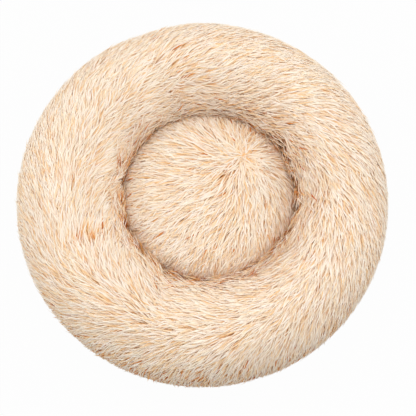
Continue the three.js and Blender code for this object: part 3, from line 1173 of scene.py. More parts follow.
@dataclass
class Plush:
    """The plush: a stuffed ring in three panels and a crowned seat, with combed pile on their backing."""

    half_width: float = 0.079
    widest: float = 0.086
    press: float = 0.006
    pile_depth: float = 0.013
    inset_angles: tuple[float, ...] = (-60, -40, 130, 170, 190, 210)
    well_inset: float = 0.004
    well_shift: tuple[float, float] = (0.0095, 0.0085)
    backing: float = 0.002
    hem: float = 0.0015
    hem_angle: float = 10
    seam_draw: float = 0.006
    seam_width: float = 13
    lump: float = 0.003
    lump_size: float = 0.09
    floor: float = 0.0018
    around: int = 180
    section: int = 64
    seams: tuple[float, float, float] = (0, 110, 250)
    panels: tuple[str, str, str] = ("ring_panel_back_right", "ring_panel_left", "ring_panel_front_right")
    ring_fullness: float = 0.7
    sector_width: float = 40
    seat_radius: float = 0.134
    seat_foot: float = 0.058
    seat_power: float = 3.4
    seat_rings: int = 26
    seat_fullness: float = 0.8
    skirt_rings: int = 6
    skirt_radius: float = 0.1525
    skirt_foot: float = 0.0405
    swelling: Swelling = field(default_factory=Swelling)
    combing: Combing = field(default_factory=Combing)
    coat: Coat = field(default_factory=Coat)

    def __post_init__(self) -> None:
        """Takes the outer sizes from the frame."""
        low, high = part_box("ring_panel_left")
        self.outer_radius = -low[0]
        self.top = high[2]
        self.centre_radius = self.outer_radius - self.half_width
        self.seat_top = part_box("seat_cover")[1][2]
        self.slack = self.swelling.reach / 2
        self.section_from, self.section_to = self.inset_angles[0], self.inset_angles[-1]

    def build(self) -> None:
        """Makes the covers, what fills them, and the pile of the ring and of the seat."""
        stuffing = Stuffing(self.backing)
        ring, seat = self.ring_skin(), self.seat_skin()
        stuffing.fill("ring", ring, ["ring_liner_upper", "ring_liner_lower"], "ring_fill")
        stuffing.fill_seat(seat, self.seat_foot)
        spans = list(zip(self.panels, self.seams, [*self.seams[1:], self.seams[0] + 360]))
        for node, start, end in spans:
            panel = self.part_of(ring, start, end)
            self.cut_cover(node.replace("ring_panel", "plush_panel"), panel, node)
        self.cut_cover("seat_plush", seat.data.copy(), "seat_cover")
        for skin in (ring, seat):
            self.refine(skin)
        ring.data = self.part_of(ring, 0, 360)
        pile = Pile("ring_pile", self.pile_depth)
        for name, start, end in spans:
            sectors = math.ceil((end - start) / self.sector_width)
            width = (end - start) / sectors
            for number in range(sectors):
                sector = self.part_of(ring, start + width * number, start + width * (number + 1))
                pile.grow(name.replace("ring_panel", "pile") + f"_{number + 1}", ring, sector)
        pile = Pile("seat_pile", self.pile_depth, wander=0.8, scatter=0.3, curl=0.3, tangle=0.008)
        for name, start, end in (("pile_seat_back", 0, 180), ("pile_seat_front", 180, 360)):
            pile.grow(name, seat, self.part_of(seat, start, end))
        for skin in (ring, seat):
            bpy.data.objects.remove(skin)

    def cut_cover(self, name: str, mesh: bpy.types.Mesh, node: str) -> None:
        """Makes a cover's backing.

        Args:
            name: The piece's name.
            mesh: Its outside.
            node: The solid that it replaces.
        """
        cover = new_object(name, mesh)
        thicken(cover, self.backing)
        declare(cover, BACKING, [node])

    def refine(self, skin: bpy.types.Object) -> None:
        """Subdivides a backing once, with what is stored on it.

        Args:
            skin: The backing.
        """
        finer = skin.modifiers.new("Finer", "SUBSURF")
        finer.levels = finer.render_levels = 1
        settle(skin)

    def part_of(self, skin: bpy.types.Object, start: float, end: float) -> bpy.types.Mesh:
        """Copies the faces of a backing that carry pile and lie between two bearings.

        Args:
            skin: The backing.
            start: The first bearing, in degrees.
            end: The last bearing, in degrees.

        Returns:
            The faces, as a mesh of their own.
        """
        mesh = bpy.data.meshes.new("part")
        with at_work(skin.data, mesh) as part:
            share = part.verts.layers.float[Pile.SHARE]
            outside = []
            for face in part.faces:
                centre = face.calc_center_median()
                bearing = math.degrees(math.atan2(centre.y, centre.x)) % 360
                bare = all(vertex[share] <= 0 for vertex in face.verts)
                if bare or not start <= bearing < end:
                    outside.append(face)
            bmesh.ops.delete(part, geom=outside, context="FACES")
        return mesh

    # The ring

    def section_point(self, bearing: float, angle: float) -> Vector:
        """Gives a point on the backing of the ring, which lies inside the outline of its pile.

        It is deep under the pile, shallow at the hems, and shifted where the seat sits off centre.

        Args:
            bearing: The bearing round the ring, in degrees.
            angle: The angle round its section, in degrees.

        Returns:
            The point.
        """
        turn, tilt = math.radians(bearing), math.radians(angle)
        height = self.top - self.widest if math.sin(tilt) > 0 else self.widest + self.press
        place = Vector((math.cos(turn), math.sin(turn), math.sin(tilt)))
        deep = self.pile_depth + self.slack
        well = self.well_inset + self.slack + self.well_shift[0] * place.x + self.well_shift[1] * place.y
        inset = float(np.interp(angle, self.inset_angles, [self.hem, deep, deep, well, well, self.hem]))
        nearest = min(apart(bearing, seam) for seam in self.seams)
        draw = self.seam_draw * max(0, 1 - nearest / self.seam_width) * max(0, math.sin(tilt))
        lump = self.lump * noise.noise(place * (self.centre_radius / self.lump_size))
        inset = inset + draw - lump * max(0, math.sin(tilt))
        radius = self.centre_radius + (self.half_width - inset) * math.cos(tilt)
        level = self.widest + (height - inset) * math.sin(tilt)
        return Vector((radius * math.cos(turn), radius * math.sin(turn), max(level, self.floor)))

    def ring_skin(self) -> bpy.types.Object:
        """Makes the whole ring's backing, stuffed, with the combing stored on it.

        Returns:
            The backing, which the panels and the pile are taken from.
        """
        bearings = [360 * i / self.around for i in range(self.around)]
        angles = [self.section_from + 360 * j / self.section for j in range(self.section)]
        points = [self.section_point(bearing, angle) for bearing in bearings for angle in angles]
        faces = woven_faces(self.around, self.section, joined=True)
        skin = new_object("ring_skin", mesh_of("ring_skin", points, faces))
        turned, tilted = np.repeat(bearings, self.section), np.tile(angles, self.around)
        off_seam = np.min([apart(turned, seam) for seam in self.seams], axis=0)
        first, last = self.section_from + self.hem_angle, self.section_to - self.hem_angle
        at_hem = (tilted > last) | (tilted < first)
        self.swelling.swell(skin, np.nonzero((off_seam < 180 / self.around) | at_hem)[0])
        store(skin.data, Pile.WAY, self.combing.ring_ways(turned, tilted, normals(skin.data)))
        self.coat.on_ring(skin.data, turned, tilted, off_seam)
        return skin

    # The seat

    def seat_profile(self) -> list[tuple[float, float, float]]:
        """Gives the seat's section, from the middle of its crown, down its side, to the hem of its skirt.

        Returns:
            The radius, the height and the share of the well's shift at each row.
        """
        radius = self.seat_radius - self.slack
        rise = self.seat_top - self.pile_depth - self.slack - self.seat_foot
        power = 2 / self.seat_power
        rows = []
        for ring in range(self.seat_rings + 1):
            angle = math.pi / 2 * (1 - ring / self.seat_rings)
            across = radius * max(math.cos(angle), 0) ** power if ring else 0
            rows.append((across, self.seat_foot + rise * max(math.sin(angle), 0) ** power, 1))
        for ring in range(1, self.skirt_rings + 1):
            angle = math.pi / 2 * ring / self.skirt_rings
            across = radius + (self.skirt_radius - radius) * (1 - math.cos(angle))
            height = self.seat_foot - (self.seat_foot - self.skirt_foot) * math.sin(angle)
            rows.append((across, height, math.cos(angle)))
        return rows

    def seat_skin(self) -> bpy.types.Object:
        """Makes the seat's backing: a crowned disc with steep sides, stuffed, with its combing stored.

        Returns:
            The backing, which the cover and the pile are taken from.
        """
        east, north = self.well_shift
        profile = self.seat_profile()
        rows = [(across, height, east * share, north * share) for across, height, share in profile]
        skin = new_object("seat_skin", disc_of("seat_skin", rows, self.around // 2))
        self.swelling.swell(skin, np.nonzero(coordinates(skin.data)[:, 2] < self.seat_foot)[0])
        places = coordinates(skin.data)
        store(skin.data, Pile.WAY, self.combing.seat_ways(places, normals(skin.data)))
        across = np.hypot(*(places[:, :2] - np.array(self.well_shift)).T) / self.seat_radius
        self.coat.on_seat(skin.data, across, self.combing.seat_looseness(places))
        return skin


@dataclass
class Stuffing:
    """The stuffing: a thin liner inside each cover, full of loose fibre."""

    backing: float
    air: float = 0.001
    liner: float = 0.0006
    lump: float = 0.002
    lump_size: float = 0.03
    fullness: float = 0.7
    seat_floor: float = 0.0145
    seat_corner: float = 0.014

    def fill(self, title: str, skin: bpy.types.Object, liners: Sequence[str], fibre: str) -> None:
        """Makes the liner and the fibre inside a closed backing.

        Args:
            title: The start of the pieces' names.
            skin: The backing.
            liners: The solids of the liner.
            fibre: The solid of the fibre.
        """
        depth = self.backing + self.air
        cloth = new_object(f"{title}_liner", self.shrunk(skin.data, depth, 0))
        thicken(cloth, self.liner)
        declare(cloth, LINER, liners)
        inner = self.shrunk(skin.data, depth + self.liner + self.air, self.lump)
        loose = new_object(f"{title}_stuffing", inner)
        forget(loose.data)
        declare(loose, FIBRE, [fibre])

    def shrunk(self, mesh: bpy.types.Mesh, depth: float, lump: float) -> bpy.types.Mesh:
        """Copies a closed mesh a little way inside itself.

        Args:
            mesh: The mesh.
            depth: How far inside.
            lump: How much further in it is pitted.

        Returns:
            The copy.
        """
        places, ups = coordinates(mesh), normals(mesh)
        waves = np.array([noise.noise(Vector(place) / self.lump_size) for place in places])
        pits = lump * (0.5 + 0.5 * waves)
        inner = mesh.copy()
        inner.vertices.foreach_set("co", (places - ups * (depth + pits)[:, None]).ravel())
        inner.update()
        return inner

    def fill_seat(self, skin: bpy.types.Object, foot: float) -> None:
        """Closes the seat's backing below, over the zip, and fills it.

        Args:
            skin: The seat's backing.
            foot: The height below which its skirt spreads.
        """
        closed = new_object("seat_closed", bpy.data.meshes.new("seat_closed"))
        with at_work(skin.data, closed.data) as crown:
            skirt = [face for face in crown.faces if face.calc_center_median().z < foot]
            bmesh.ops.delete(crown, geom=skirt, context="FACES")
            steps = ((0, foot - self.seat_floor - self.seat_corner), (self.seat_corner, self.seat_corner))
            for inwards, down in steps:
                drawn = bmesh.ops.extrude_edge_only(crown, edges=self.rim(crown))["geom"]
                for vertex in (item for item in drawn if isinstance(item, bmesh.types.BMVert)):
                    out = Vector((vertex.co.x, vertex.co.y, 0)).normalized()
                    vertex.co -= out * inwards + Vector((0, 0, down))
            bmesh.ops.contextual_create(crown, geom=self.rim(crown))
            bmesh.ops.recalc_face_normals(crown, faces=crown.faces)
        self.fill("seat", closed, ["seat_liner_upper", "seat_liner_lower"], "seat_fill")
        bpy.data.objects.remove(closed)

    @staticmethod
    def rim(work: bmesh.types.BMesh) -> list[bmesh.types.BMEdge]:
        """Gives the edges where an open mesh ends."""
        return [edge for edge in work.edges if edge.is_boundary]


@dataclass
class Pile:
    """Long pile: pointed locks that grow from a backing and lie along it, as geometry nodes.

    A pair such as length_range gives the least share that a lock may have, and how much more the most is.
    """

    MAP: ClassVar[str] = "OFBake"
    WAY: ClassVar[str] = "way"
    SHARE: ClassVar[str] = "share"
    LOOSE: ClassVar[str] = "loose"
    # The share of locks painted with shade, at each place on the backing.
    DEEP: ClassVar[str] = "deep"
    LOFT: ClassVar[str] = "loft"
    STORED: ClassVar[tuple[str, ...]] = (WAY, SHARE, LOOSE, DEEP, LOFT)
    CHANCES: ClassVar[tuple[str, ...]] = (
        "lock_size",
        "lock_rise",
        "lock_curl",
        "lock_turn",
        "lock_stray",
        "lock_tone",
    )

    name: str
    depth: float
    length: float = 0.046
    length_range: tuple[float, float] = (0.72, 0.5)
    width: float = 0.0032
    width_range: tuple[float, float] = (0.35, 0.3)
    rise_range: tuple[float, float] = (0.3, 0.7)
    body_range: tuple[float, float] = (0.62, 0.55)
    taper: float = 2.4
    tip: float = 0.03
    thickness: float = 0.0005
    density: float = 158000
    stray_share: float = 0.04
    stray_rise: float = 0.003
    wander: float = 0.55
    wander_size: float = 0.05
    scatter: float = 0.2
    curl: float = 0.25
    tangle: float = 0.006
    tangle_size: float = 0.016
    segments: int = 3
    floor: float = 0.0005
    press: float = 0.012
    loose_pale: float = 0.6
    band_used: float = 0.4
    map_margin: float = 0.01
    made: int = 0

    def __post_init__(self) -> None:
        """Builds the nodes once for every piece of pile."""
        self.recipe = Recipe(self.name, ("Skin", "Density", "Length", "Width", "Depth", "Seed"))
        self.tree, self.given = self.recipe.tree, self.recipe.given
        self.recipe.finish(self.lay(self.map_locks(self.plant())))

    def grow(self, name: str, skin: bpy.types.Object, part: bpy.types.Mesh) -> None:
        """Grows the pile on one part of a backing.

        Args:
            name: The piece's name.
            skin: The whole backing, along which the locks lie.
            part: The part that they grow from.
        """
        self.made += 1
        piece = new_object(name, part)
        values = {
            "Skin": skin,
            "Density": self.density,
            "Length": self.length,
            "Width": self.width,
            "Depth": self.depth,
            "Seed": self.made,
            "Finish": PILE.material(),
        }
        self.recipe.run(piece, values)
        declare(piece, PILE)

    def named(self, name: str) -> Socket:
        """Reads a stored value."""
        settings = {"data_type": "FLOAT"}
        return self.tree.node("GeometryNodeInputNamedAttribute", settings, {"Name": name}, "Attribute")

    def named_arrow(self, name: str) -> Arrow:
        """Reads a stored vector."""
        settings = {"data_type": "FLOAT_VECTOR"}
        return self.tree.arrow("GeometryNodeInputNamedAttribute", settings, {"Name": name}, "Attribute")

    def keep(
        self,
        geometry: Socket,
        name: str,
        value: Socket,
        kind: str = "FLOAT",
        domain: str = "POINT",
    ) -> Socket:
        """Stores a value on the geometry.

        Args:
            geometry: The geometry.
            name: The attribute's name.
            value: The value.
            kind: What kind of value it is.
            domain: What has one.

        Returns:
            The geometry.
        """
        settings = {"data_type": kind, "domain": domain}
        inputs = {"Geometry": geometry, "Name": name, "Value": value}
        return self.tree.node("GeometryNodeStoreNamedAttribute", settings, inputs)

    def ripple(self, place: Arrow, size: float) -> Arrow:
        """Gives a smooth random vector, each part from -0.5 to 0.5, that changes over a given size."""
        inputs = {"Vector": place, "Scale": 1 / size, "Detail": 1.0}
        return self.tree.arrow("ShaderNodeTexNoise", {}, inputs, "Color") - (0.5, 0.5, 0.5)

    def plant(self) -> Socket:
        """Sets a lock at each root, with its own chance values stored on it.

        Returns:
            The locks, still upright and alike.
        """
        tree, seed = self.tree, self.given.beside("Seed")
        density = self.given.beside("Density") * self.named(self.SHARE)
        inputs = {"Mesh": self.given, "Density": density, "Seed": seed}
        settings = {"distribute_method": "RANDOM"}
        roots = tree.node("GeometryNodeDistributePointsOnFaces", settings, inputs, "Points")
        points = self.keep(roots, "lock_up", roots.beside("Normal"), "FLOAT_VECTOR")
        points = self.keep(points, "lock_root", tree.node("GeometryNodeInputPosition"), "FLOAT_VECTOR")
        for number, name in enumerate(self.CHANCES):
            inputs = {"Seed": seed * len(self.CHANCES) + number}
            chance = tree.node("FunctionNodeRandomValue", {"data_type": "FLOAT"}, inputs, "Value")
            points = self.keep(points, name, chance)
        inputs = {"Vertices": 3, "Side Segments": self.segments, "Radius": 1.0, "Depth": 1.0}
        lock = tree.node("GeometryNodeMeshCylinder", {"fill_type": "NGON"}, inputs, "Mesh")
        return self.recipe.scatter(points, lock)

    def lock_place(self) -> tuple[Socket, Socket, Socket]:
        """Gives a point's place on an upright lock, which is three-sided with its ridge on top.

        Returns:
            Its lift, 1 on the ridge, its side, from -1 to 1, and how far along it is, from 0 to 1.
        """
        place = self.tree.arrow("GeometryNodeInputPosition") - self.named_arrow("lock_root")
        lift, side, level = place.parts()
        return lift, side / SINE_60, level + 0.5

    def map_locks(self, locks: Socket) -> Socket:
        """Stores each lock's place in the colour map: its band from left to right, root to tip upwards.

        Args:
            locks: The upright locks.

        Returns:
            The locks, with their map.
        """
        _, side, along = self.lock_place()
        # Locks whose chance tone is under that share take the painted shade colours.
        deep = self.named(self.DEEP) > self.named("lock_tone")
        band = (self.named("lock_rise") * PILE.bands).floor() + deep * PILE.bands
        # At the whorl the darker roots, which are painted shade, are left out.
        paled = along.at_least(self.named(self.LOOSE) * self.loose_pale)
        across = (band + 0.5 + side * self.band_used) / (2 * PILE.bands)
        flat = self.tree.vector(across, self.map_margin + paled * (1 - 2 * self.map_margin))
        return self.keep(locks, self.MAP, flat, "FLOAT2", "CORNER")

    def on_skin(self, kind: str, place: Arrow) -> Arrow:
        """Samples the backing at its nearest place.

        Args:
            kind: The node that gives what is sampled.
            place: Where from.

        Returns:
            The sampled vector.
        """
        skin = self.tree.node("GeometryNodeObjectInfo", {}, {"Object": self.given.beside("Skin")}, "Geometry")
        inputs = {"Mesh": skin, "Value": self.tree.node(kind), "Sample Position": place}
        return self.tree.arrow("GeometryNodeSampleNearestSurface", {"data_type": "FLOAT_VECTOR"}, inputs)

    @staticmethod
    def within(limits: tuple[float, float], share: Socket) -> Socket:
        """Gives a value between the least and the most."""
        return limits[0] + share * limits[1]

    def lay(self, locks: Socket) -> Socket:
        """Lays each lock along the backing, tapered, curled and tangled with its neighbours.

        Args:
            locks: The upright locks.

        Returns:
            The laid locks.
        """
        root, up, size = self.named_arrow("lock_root"), self.named_arrow("lock_up"), self.named("lock_size")
        lift, side, along = self.lock_place()
        drift, _, _ = self.ripple(root, self.wander_size).parts()
        freedom = self.named(self.LOOSE) * (2 * math.pi) + 2 * self.scatter
        turn = drift * (2 * self.wander) + (self.named("lock_turn") - 0.5) * freedom
        combed = self.named_arrow(self.WAY).unit()
        way = (combed * turn.cosine() + combed.cross(up) * turn.sine()).unit()
        across = way.cross(up)
        reach = self.given.beside("Length") * self.within(self.length_range, size) * along
        bend = (self.named("lock_curl") - 0.5) * (2 * self.curl)
        spine = root + way * reach + across * (reach * along * bend)
        spine = spine + self.ripple(root, self.tangle_size) * (along * along * (2 * self.tangle))
        under = self.on_skin("GeometryNodeInputPosition", spine)
        over = self.on_skin("GeometryNodeInputNormal", spine).unit()
        stray = self.named("lock_stray") > (1 - self.stray_share)
        lain = 1 - (1 - along) * (1 - along)
        depth = self.given.beside("Depth") * self.named(self.LOFT)
        height = depth * self.within(self.rise_range, self.named("lock_rise") ** 0.5) * lain
        height = height + stray * along * along * self.stray_rise
        aside = (way + across * (along * bend * 2)).unit().cross(over).unit()
        body = (1 - along**self.taper) * self.within(self.body_range, along)
        body = body * (1 - self.tip) + self.tip
        half = self.given.beside("Width") * self.within(self.width_range, size) * body
        place = under + over * (height + lift * body * self.thickness) + aside * (side * half)
        x, y, z = place.parts()
        clear = self.tree.vector(x, y, z.at_least(self.floor, self.press))
        return self.tree.node("GeometryNodeSetPosition", {}, {"Geometry": locks, "Position": clear})


# The base


class Half(Enum):
    """The two halves of the base and of the zip, and the way that each lies along Y."""

    BACK = 1
    FRONT = -1

    @property
    def title(self) -> str:
        """Gives the half's name, as the pieces' names end."""
        return self.name.lower()


@dataclass
class BaseCloth:
    """The base cloth: two halves that meet at the zip, raised over it and turned up at the rim."""

    rim_width: float = 0.0105
    rim_height: float = 0.0090
    rim_power: float = 1.6
    thickness: float = 0.0007
    clearance: float = 0.0004
    shelf: tuple[float, float] = (0.173, 0.020)
    shelf_height: float = 0.0082
    slope: float = 0.014
    opening: tuple[float, float] = (0.1562, 0.009)
    parting: float = 0.00015
    rows: int = 66
    spokes: int = 180
    ripple: float = 0.0007
    ripple_size: float = 0.05
    puckers: int = 54
    pucker: float = 0.0008
    cut: tuple[float, float] = (0.53, 0.265)
    cut_area: float = 0.108
    dot_pitch: float = 0.020
    dot_size: tuple[float, float] = (0.0019, 0.0007)
    dot_reach: float = 0.238
    dot_smoothness: int = 2
    seam_rows: tuple[float, float] = (0.0115, 0.0160)
    seam_points: int = 60
    rim_seam: float = 0.35
    rim_points: int = 160
    stitch_pitch: float = 0.0040

    def __post_init__(self) -> None:
        """Takes the radius from the frame."""
        self.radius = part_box("base_cloth_back")[1][0]

    def build(self) -> None:
        """Makes both halves, their grip dots and the stitching."""
        whole = self.whole_cloth()
        for half in Half:
            cloth = new_object(f"base_{half.title}", self.half_of(whole, half))
            thicken(cloth, self.thickness, inwards=False)
            dots, seams = self.grip_dots(half), self.stitches(half)
            declare(cloth, BASE_CLOTH, [f"base_cloth_{half.title}"])
        bpy.data.meshes.remove(whole)

    def height(self, x: float, y: float) -> float:
        """Gives the height of the cloth's underside.

        Args:
            x: The place along X.
            y: The place along Y.

        Returns:
            The height.
        """
        across = max(abs(x) - self.shelf[0], 0), max(abs(y) - self.shelf[1], 0)
        raised = float(1 - smooth(math.hypot(*across) / self.slope))
        wave = self.ripple * (0.5 + 0.5 * noise.noise(Vector((x, y, 0)) / self.ripple_size)) * (1 - raised)
        turned = max(0, math.hypot(x, y) - self.radius + self.rim_width) / self.rim_width
        drawn = self.pucker * math.sin(self.puckers * math.atan2(y, x)) * turned * (1 - turned)
        rim = self.rim_height * turned**self.rim_power
        return self.clearance + self.shelf_height * raised + wave + rim + drawn

    def whole_cloth(self) -> bpy.types.Mesh:
        """Makes the whole disc, with edges where it is cut for the zip.

        Returns:
            The disc, flat.
        """
        radii = [self.radius * row / (self.rows - 1) for row in range(self.rows)]
        mesh = disc_of("disc", [(radius, 0, 0, 0) for radius in radii], self.spokes)
        across = (self.parting, self.opening[1], self.seam_rows[0], self.shelf[1])
        along = (self.opening[0], self.shelf[0])
        with at_work(mesh) as cut:
            for way, offsets in ((Vector((0, 1, 0)), across), (Vector((1, 0, 0)), along)):
                for offset in (side * distance for distance in offsets for side in (1, -1)):
                    parts = [*cut.verts, *cut.edges, *cut.faces]
                    place = way * offset
                    bmesh.ops.bisect_plane(cut, geom=parts, plane_co=place, plane_no=way, dist=SAME_PLACE)
        return mesh

    def half_of(self, whole: bpy.types.Mesh, half: Half) -> bpy.types.Mesh:
        """Takes one half of the disc, without the zip's opening, and shapes it.

        Args:
            whole: The whole disc.
            half: Which half.

        Returns:
            The half.
        """
        mesh = bpy.data.meshes.new("half")
        with at_work(whole, mesh) as cloth:
            waste = []
            for face in cloth.faces:
                centre = face.calc_center_median()
                slot = abs(centre.x) < self.opening[0] and abs(centre.y) < self.opening[1]
                if slot or centre.y * half.value < self.parting:
                    waste.append(face)
            bmesh.ops.delete(cloth, geom=waste, context="FACES")
            for vertex in cloth.verts:
                vertex.co.z = self.height(vertex.co.x, vertex.co.y)
        mesh.shade_smooth()
        return mesh

    def grip_dots(self, half: Half) -> bpy.types.Object:
        """Sets rubber dots on one half's underside, in rows that are half a pitch apart by turns.

        Args:
            half: Which half.

        Returns:
            The dots.
        """
        recipe = Recipe("grip_dots", ("Width", "Height"))
        inputs = {"Radius": 1.0, "Subdivisions": self.dot_smoothness}
        dot = recipe.tree.node("GeometryNodeMeshIcoSphere", {}, inputs, "Mesh")
        across, up = (recipe.given.beside(title) for title in ("Width", "Height"))
        size = recipe.tree.vector(across, across, up)
        recipe.finish(recipe.scatter(recipe.given, dot, {"Scale": size}))
        width, height = self.dot_size
        rows = int(self.dot_reach / (self.dot_pitch * SINE_60))
        places = []
        for row in range(1, rows + 1):
            y = half.value * row * self.dot_pitch * SINE_60
            for step in range(-rows, rows + 1):
                x = (step + row % 2 / 2) * self.dot_pitch
                near_zip = abs(x) < self.shelf[0] + self.slope and abs(y) < self.shelf[1] + self.slope
                if math.hypot(x, y) < self.dot_reach and not near_zip:
                    places.append((x, y, height))
        dots = new_object(f"grip_dots_{half.title}", mesh_of("dots", places, []))
        recipe.run(dots, {"Width": width, "Height": height, "Finish": RUBBER.material()})
        dots.data.shade_smooth()
        return declare(dots, RUBBER)

    def stitches(self, half: Half) -> bpy.types.Object:
        """Sews one half to its zip tape in two rows, and to the ring along its rim.

        Args:
            half: Which half.

        Returns:
            The stitches.
        """
        end = self.opening[0] + self.seam_rows[0] - self.opening[1]
        along = np.linspace(-end, end, self.seam_points)
        rows = [[(x, half.value * y) for x in along] for y in self.seam_rows]
        inner = self.radius - self.rim_width * self.rim_seam
        turns = np.linspace(math.radians(1), math.radians(179), self.rim_points)
        rows.append([(inner * math.cos(turn), half.value * inner * math.sin(turn)) for turn in turns])
        lines = [[(x, y, self.height(x, y)) for x, y in row] for row in rows]
        return Stitching(self.stitch_pitch).sew(f"stitches_{half.title}", lines)


@dataclass
class Stitching:
    """A row of lock stitches, set along a line by geometry nodes."""

    pitch: float
    length: float = 0.7
    radius: float = 0.00028

    def sew(self, name: str, lines: Sequence[Sequence[tuple[float, float, float]]]) -> bpy.types.Object:
        """Sews along lines.

        Args:
            name: The piece's name.
            lines: The points of each line.

        Returns:
            The stitches.
        """
        recipe = Recipe("stitches", ("Pitch", "Length", "Radius"))
        tree, given = recipe.tree, recipe.given
        pitch, length, radius = (given.beside(title) for title in ("Pitch", "Length", "Radius"))
        path = tree.node("GeometryNodeMeshToCurve", {}, {"Mesh": given})
        inputs = {"Curve": path, "Length": pitch}
        spaced = tree.node("GeometryNodeResampleCurve", {"mode": "LENGTH"}, inputs)
        along = tree.node("GeometryNodeInputTangent")
        turned = tree.node("FunctionNodeAlignRotationToVector", {"axis": "X"}, {"Vector": along})
        stitch = tree.node("GeometryNodeMeshIcoSphere", {}, {"Radius": 1.0, "Subdivisions": 1}, "Mesh")
        size = tree.vector(pitch * length / 2, radius, radius)
        recipe.finish(recipe.scatter(spaced, stitch, {"Rotation": turned, "Scale": size}))
        points = [point for line in lines for point in line]
        edges, start = [], 0
        for line in lines:
            edges += [(start + number, start + number + 1) for number in range(len(line) - 1)]
            start += len(line)
        piece = new_object(name, mesh_of(name, points, [], edges))
        values = {"Pitch": self.pitch, "Length": self.length, "Radius": self.radius}
        recipe.run(piece, {**values, "Finish": THREAD.material()})
        piece.data.shade_smooth()
        return declare(piece, THREAD)


@dataclass
class Zip:
    """The zip: woven tapes with a corded edge, moulded teeth, and metal stops, slider and pull."""

    cord: float = 0.00075
    cord_points: int = 9
    tape: float = 0.0003
    tape_points: tuple[float, ...] = (0.25, 0.5, 0.75, 0.98)
    steps: int = 120
    wave: float = 0.00012
    wave_turn: float = 900
    cut_width: float = 0.013
    hard: ClassVar[dict[str, Finish]] = {
        "zip_teeth": TEETH,
        "zip_top_stop": METAL,
        "zip_bottom_stop": METAL,
        "zip_slider": METAL,
        "zip_pull": METAL,
    }

    def build(self) -> None:
        """Makes the tapes and finishes the hard parts."""
        for half in Half:
            self.weave_tape(half)
        for name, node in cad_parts.items():
            for start, finish in self.hard.items():
                if name.startswith(start):
                    for place in node.material_slots:
                        place.material = finish.material()
                    log.info("%s: %s", name, finish.name)

    def weave_tape(self, half: Half) -> None:
        """Makes one tape, which waves a little away from its cord.

        Args:
            half: Which half of the zip it is on.
        """
        node = f"zip_tape_{half.title}"
        low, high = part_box(node)
        inner, outer = sorted((abs(low[1]), abs(high[1])))
        level = (low[2] + high[2]) / 2
        outline = self.outline(inner, outer)
        points = []
        for step in range(self.steps + 1):
            x = low[0] + (high[0] - low[0]) * step / self.steps
            for across, up in outline:
                free = smooth((across - inner - 2 * self.cord) / (outer - inner))
                wave = self.wave * math.sin(x * self.wave_turn) * free
                points.append((x, half.value * across, level + up + wave))
        faces = woven_faces(self.steps + 1, len(outline))
        first, last = range(len(outline)), range(self.steps * len(outline), len(points))
        mesh = mesh_of(node, points, [*faces, first[::-1], last])
        with at_work(mesh) as tape:
            bmesh.ops.recalc_face_normals(tape, faces=tape.faces)
        piece = new_object(f"woven_tape_{half.title}", mesh)
        declare(piece, TAPE, [node])

    def outline(self, inner: float, outer: float) -> list[tuple[float, float]]:
        """Gives a tape's section: a cord along its inner edge, then the flat tape.

        Args:
            inner: How far its inner edge is from the zip's middle.
            outer: How far its outer edge is.

        Returns:
            The section's points, as distances from the middle and up from the tape's own middle.
        """
        middle = inner + self.cord
        neck = math.asin(self.tape / self.cord)
        turns = np.linspace(neck, 2 * math.pi - neck, self.cord_points)
        cord = [(middle + self.cord * math.cos(turn), self.cord * math.sin(turn)) for turn in turns]
        edge = [middle + self.cord + (outer - middle - self.cord) * share for share in self.tape_points]
        under = [(across, -self.tape) for across in edge]
        over = [(across, self.tape) for across in reversed(edge)]
        return [*cord, *under, (outer, 0.0), *over]


# Studio


class Lamp(NamedTuple):
    """A square soft lamp, which is aimed at the middle of the floor."""

    place: tuple[float, float, float]
    size: float
    power: float


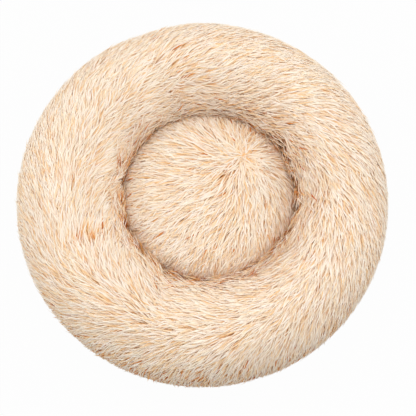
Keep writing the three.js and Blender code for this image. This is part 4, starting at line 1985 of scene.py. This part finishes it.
@dataclass
class Studio:
    """A pale floor, soft light from above and from both sides, and the camera."""

    elevation: float = 75.5
    lens: float = 200
    sensor: float = 36
    view_width: float = 0.677
    aim_right: float = 0.0089
    aim_up: float = 0.0134
    floor_size: float = 12
    floor_level: float = -0.5 * MM
    floor_paint: float = 0.4
    floor_rough: float = 0.9
    floor_glow: float = 0.975
    lamps: tuple[Lamp, ...] = (
        Lamp((-0.02, 0.06, 2.4), 2.0, 23.5),
        Lamp((-2.2, 0.8, 1.2), 1.2, 14.0),
        Lamp((2.2, 0.8, 1.2), 1.2, 14.0),
    )
    sky: float = 0.69
    bounces: int = 12

    def build(self) -> None:
        """Makes the floor, the light and the camera."""
        self.place_camera()
        self.lay_floor()
        for lamp in self.lamps:
            self.hang(lamp)
        self.light_sky()
        bpy.context.scene.view_settings.view_transform = "Standard"
        bpy.context.scene.cycles.max_bounces = self.bounces
        bpy.context.scene.cycles.diffuse_bounces = self.bounces

    def place_camera(self) -> None:
        """Aims the camera as the photograph was taken."""
        camera = bpy.data.cameras.new("camera")
        camera.lens = self.lens
        camera.sensor_width = self.sensor
        holder = new_object("camera", camera)
        tilt = math.radians(self.elevation)
        back = Vector((0, -math.cos(tilt), math.sin(tilt)))
        above = Vector((0, math.sin(tilt), math.cos(tilt)))
        aim = Vector((self.aim_right, 0, 0)) + above * self.aim_up
        distance = self.view_width * self.lens / self.sensor
        holder.location = aim + back * distance
        holder.rotation_euler = (math.pi / 2 - tilt, 0, 0)
        bpy.context.scene.camera = holder

    def lay_floor(self) -> None:
        """Lays a white floor, which keeps the bed's soft shadow."""
        half = self.floor_size / 2
        corners = [(-half, -half, 0), (half, -half, 0), (half, half, 0), (-half, half, 0)]
        floor = new_object("floor", mesh_of("floor", corners, [(0, 1, 2, 3)]))
        floor.location.z = self.floor_level
        material = bpy.data.materials.new("floor")
        material.use_nodes = True
        tree = Tree(material.node_tree)
        shader = material.node_tree.nodes["Principled BSDF"]
        shader.inputs["Base Color"].default_value = (*[self.floor_paint] * 3, 1)
        shader.inputs["Roughness"].default_value = self.floor_rough
        paint = Socket(tree, shader.outputs[0])
        glow = tree.node("ShaderNodeEmission", {}, {"Color": (1, 1, 1, 1), "Strength": 1.0})
        inputs = {"Fac": tree.seen() * self.floor_glow, 1: paint, 2: glow}
        mixed = tree.node("ShaderNodeMixShader", {}, inputs)
        tree.nodes.links.new(mixed.end, material.node_tree.nodes["Material Output"].inputs["Surface"])
        floor.data.materials.append(material)

    def hang(self, lamp: Lamp) -> None:
        """Hangs a soft lamp, out of the camera's sight.

        Args:
            lamp: The lamp.
        """
        light = bpy.data.lights.new("lamp", "AREA")
        light.size = lamp.size
        light.energy = lamp.power
        holder = new_object("lamp", light)
        holder.location = lamp.place
        holder.rotation_euler = holder.location.to_track_quat("Z", "Y").to_euler()
        holder.visible_camera = False

    def light_sky(self) -> None:
        """Lights the bed evenly from all round, with white where the camera sees past the floor."""
        world = bpy.data.worlds.new("sky")
        world.use_nodes = True
        bpy.context.scene.world = world
        tree = Tree(world.node_tree)
        shade = world.node_tree.nodes["Background"]
        shade.inputs["Color"].default_value = (1, 1, 1, 1)
        strength = self.sky + tree.seen() * (1 - self.sky)
        tree.nodes.links.new(strength.end, shade.inputs["Strength"])


def main() -> None:
    """Builds the studio, and then the bed, piece by piece."""
    logging.basicConfig(level=logging.INFO, format="%(name)s: %(message)s")
    Studio().build()
    for part in (Plush(), BaseCloth(), Zip()):
        log.info("building %s", type(part).__name__)
        part.build()


if __name__ == "__main__":
    main()
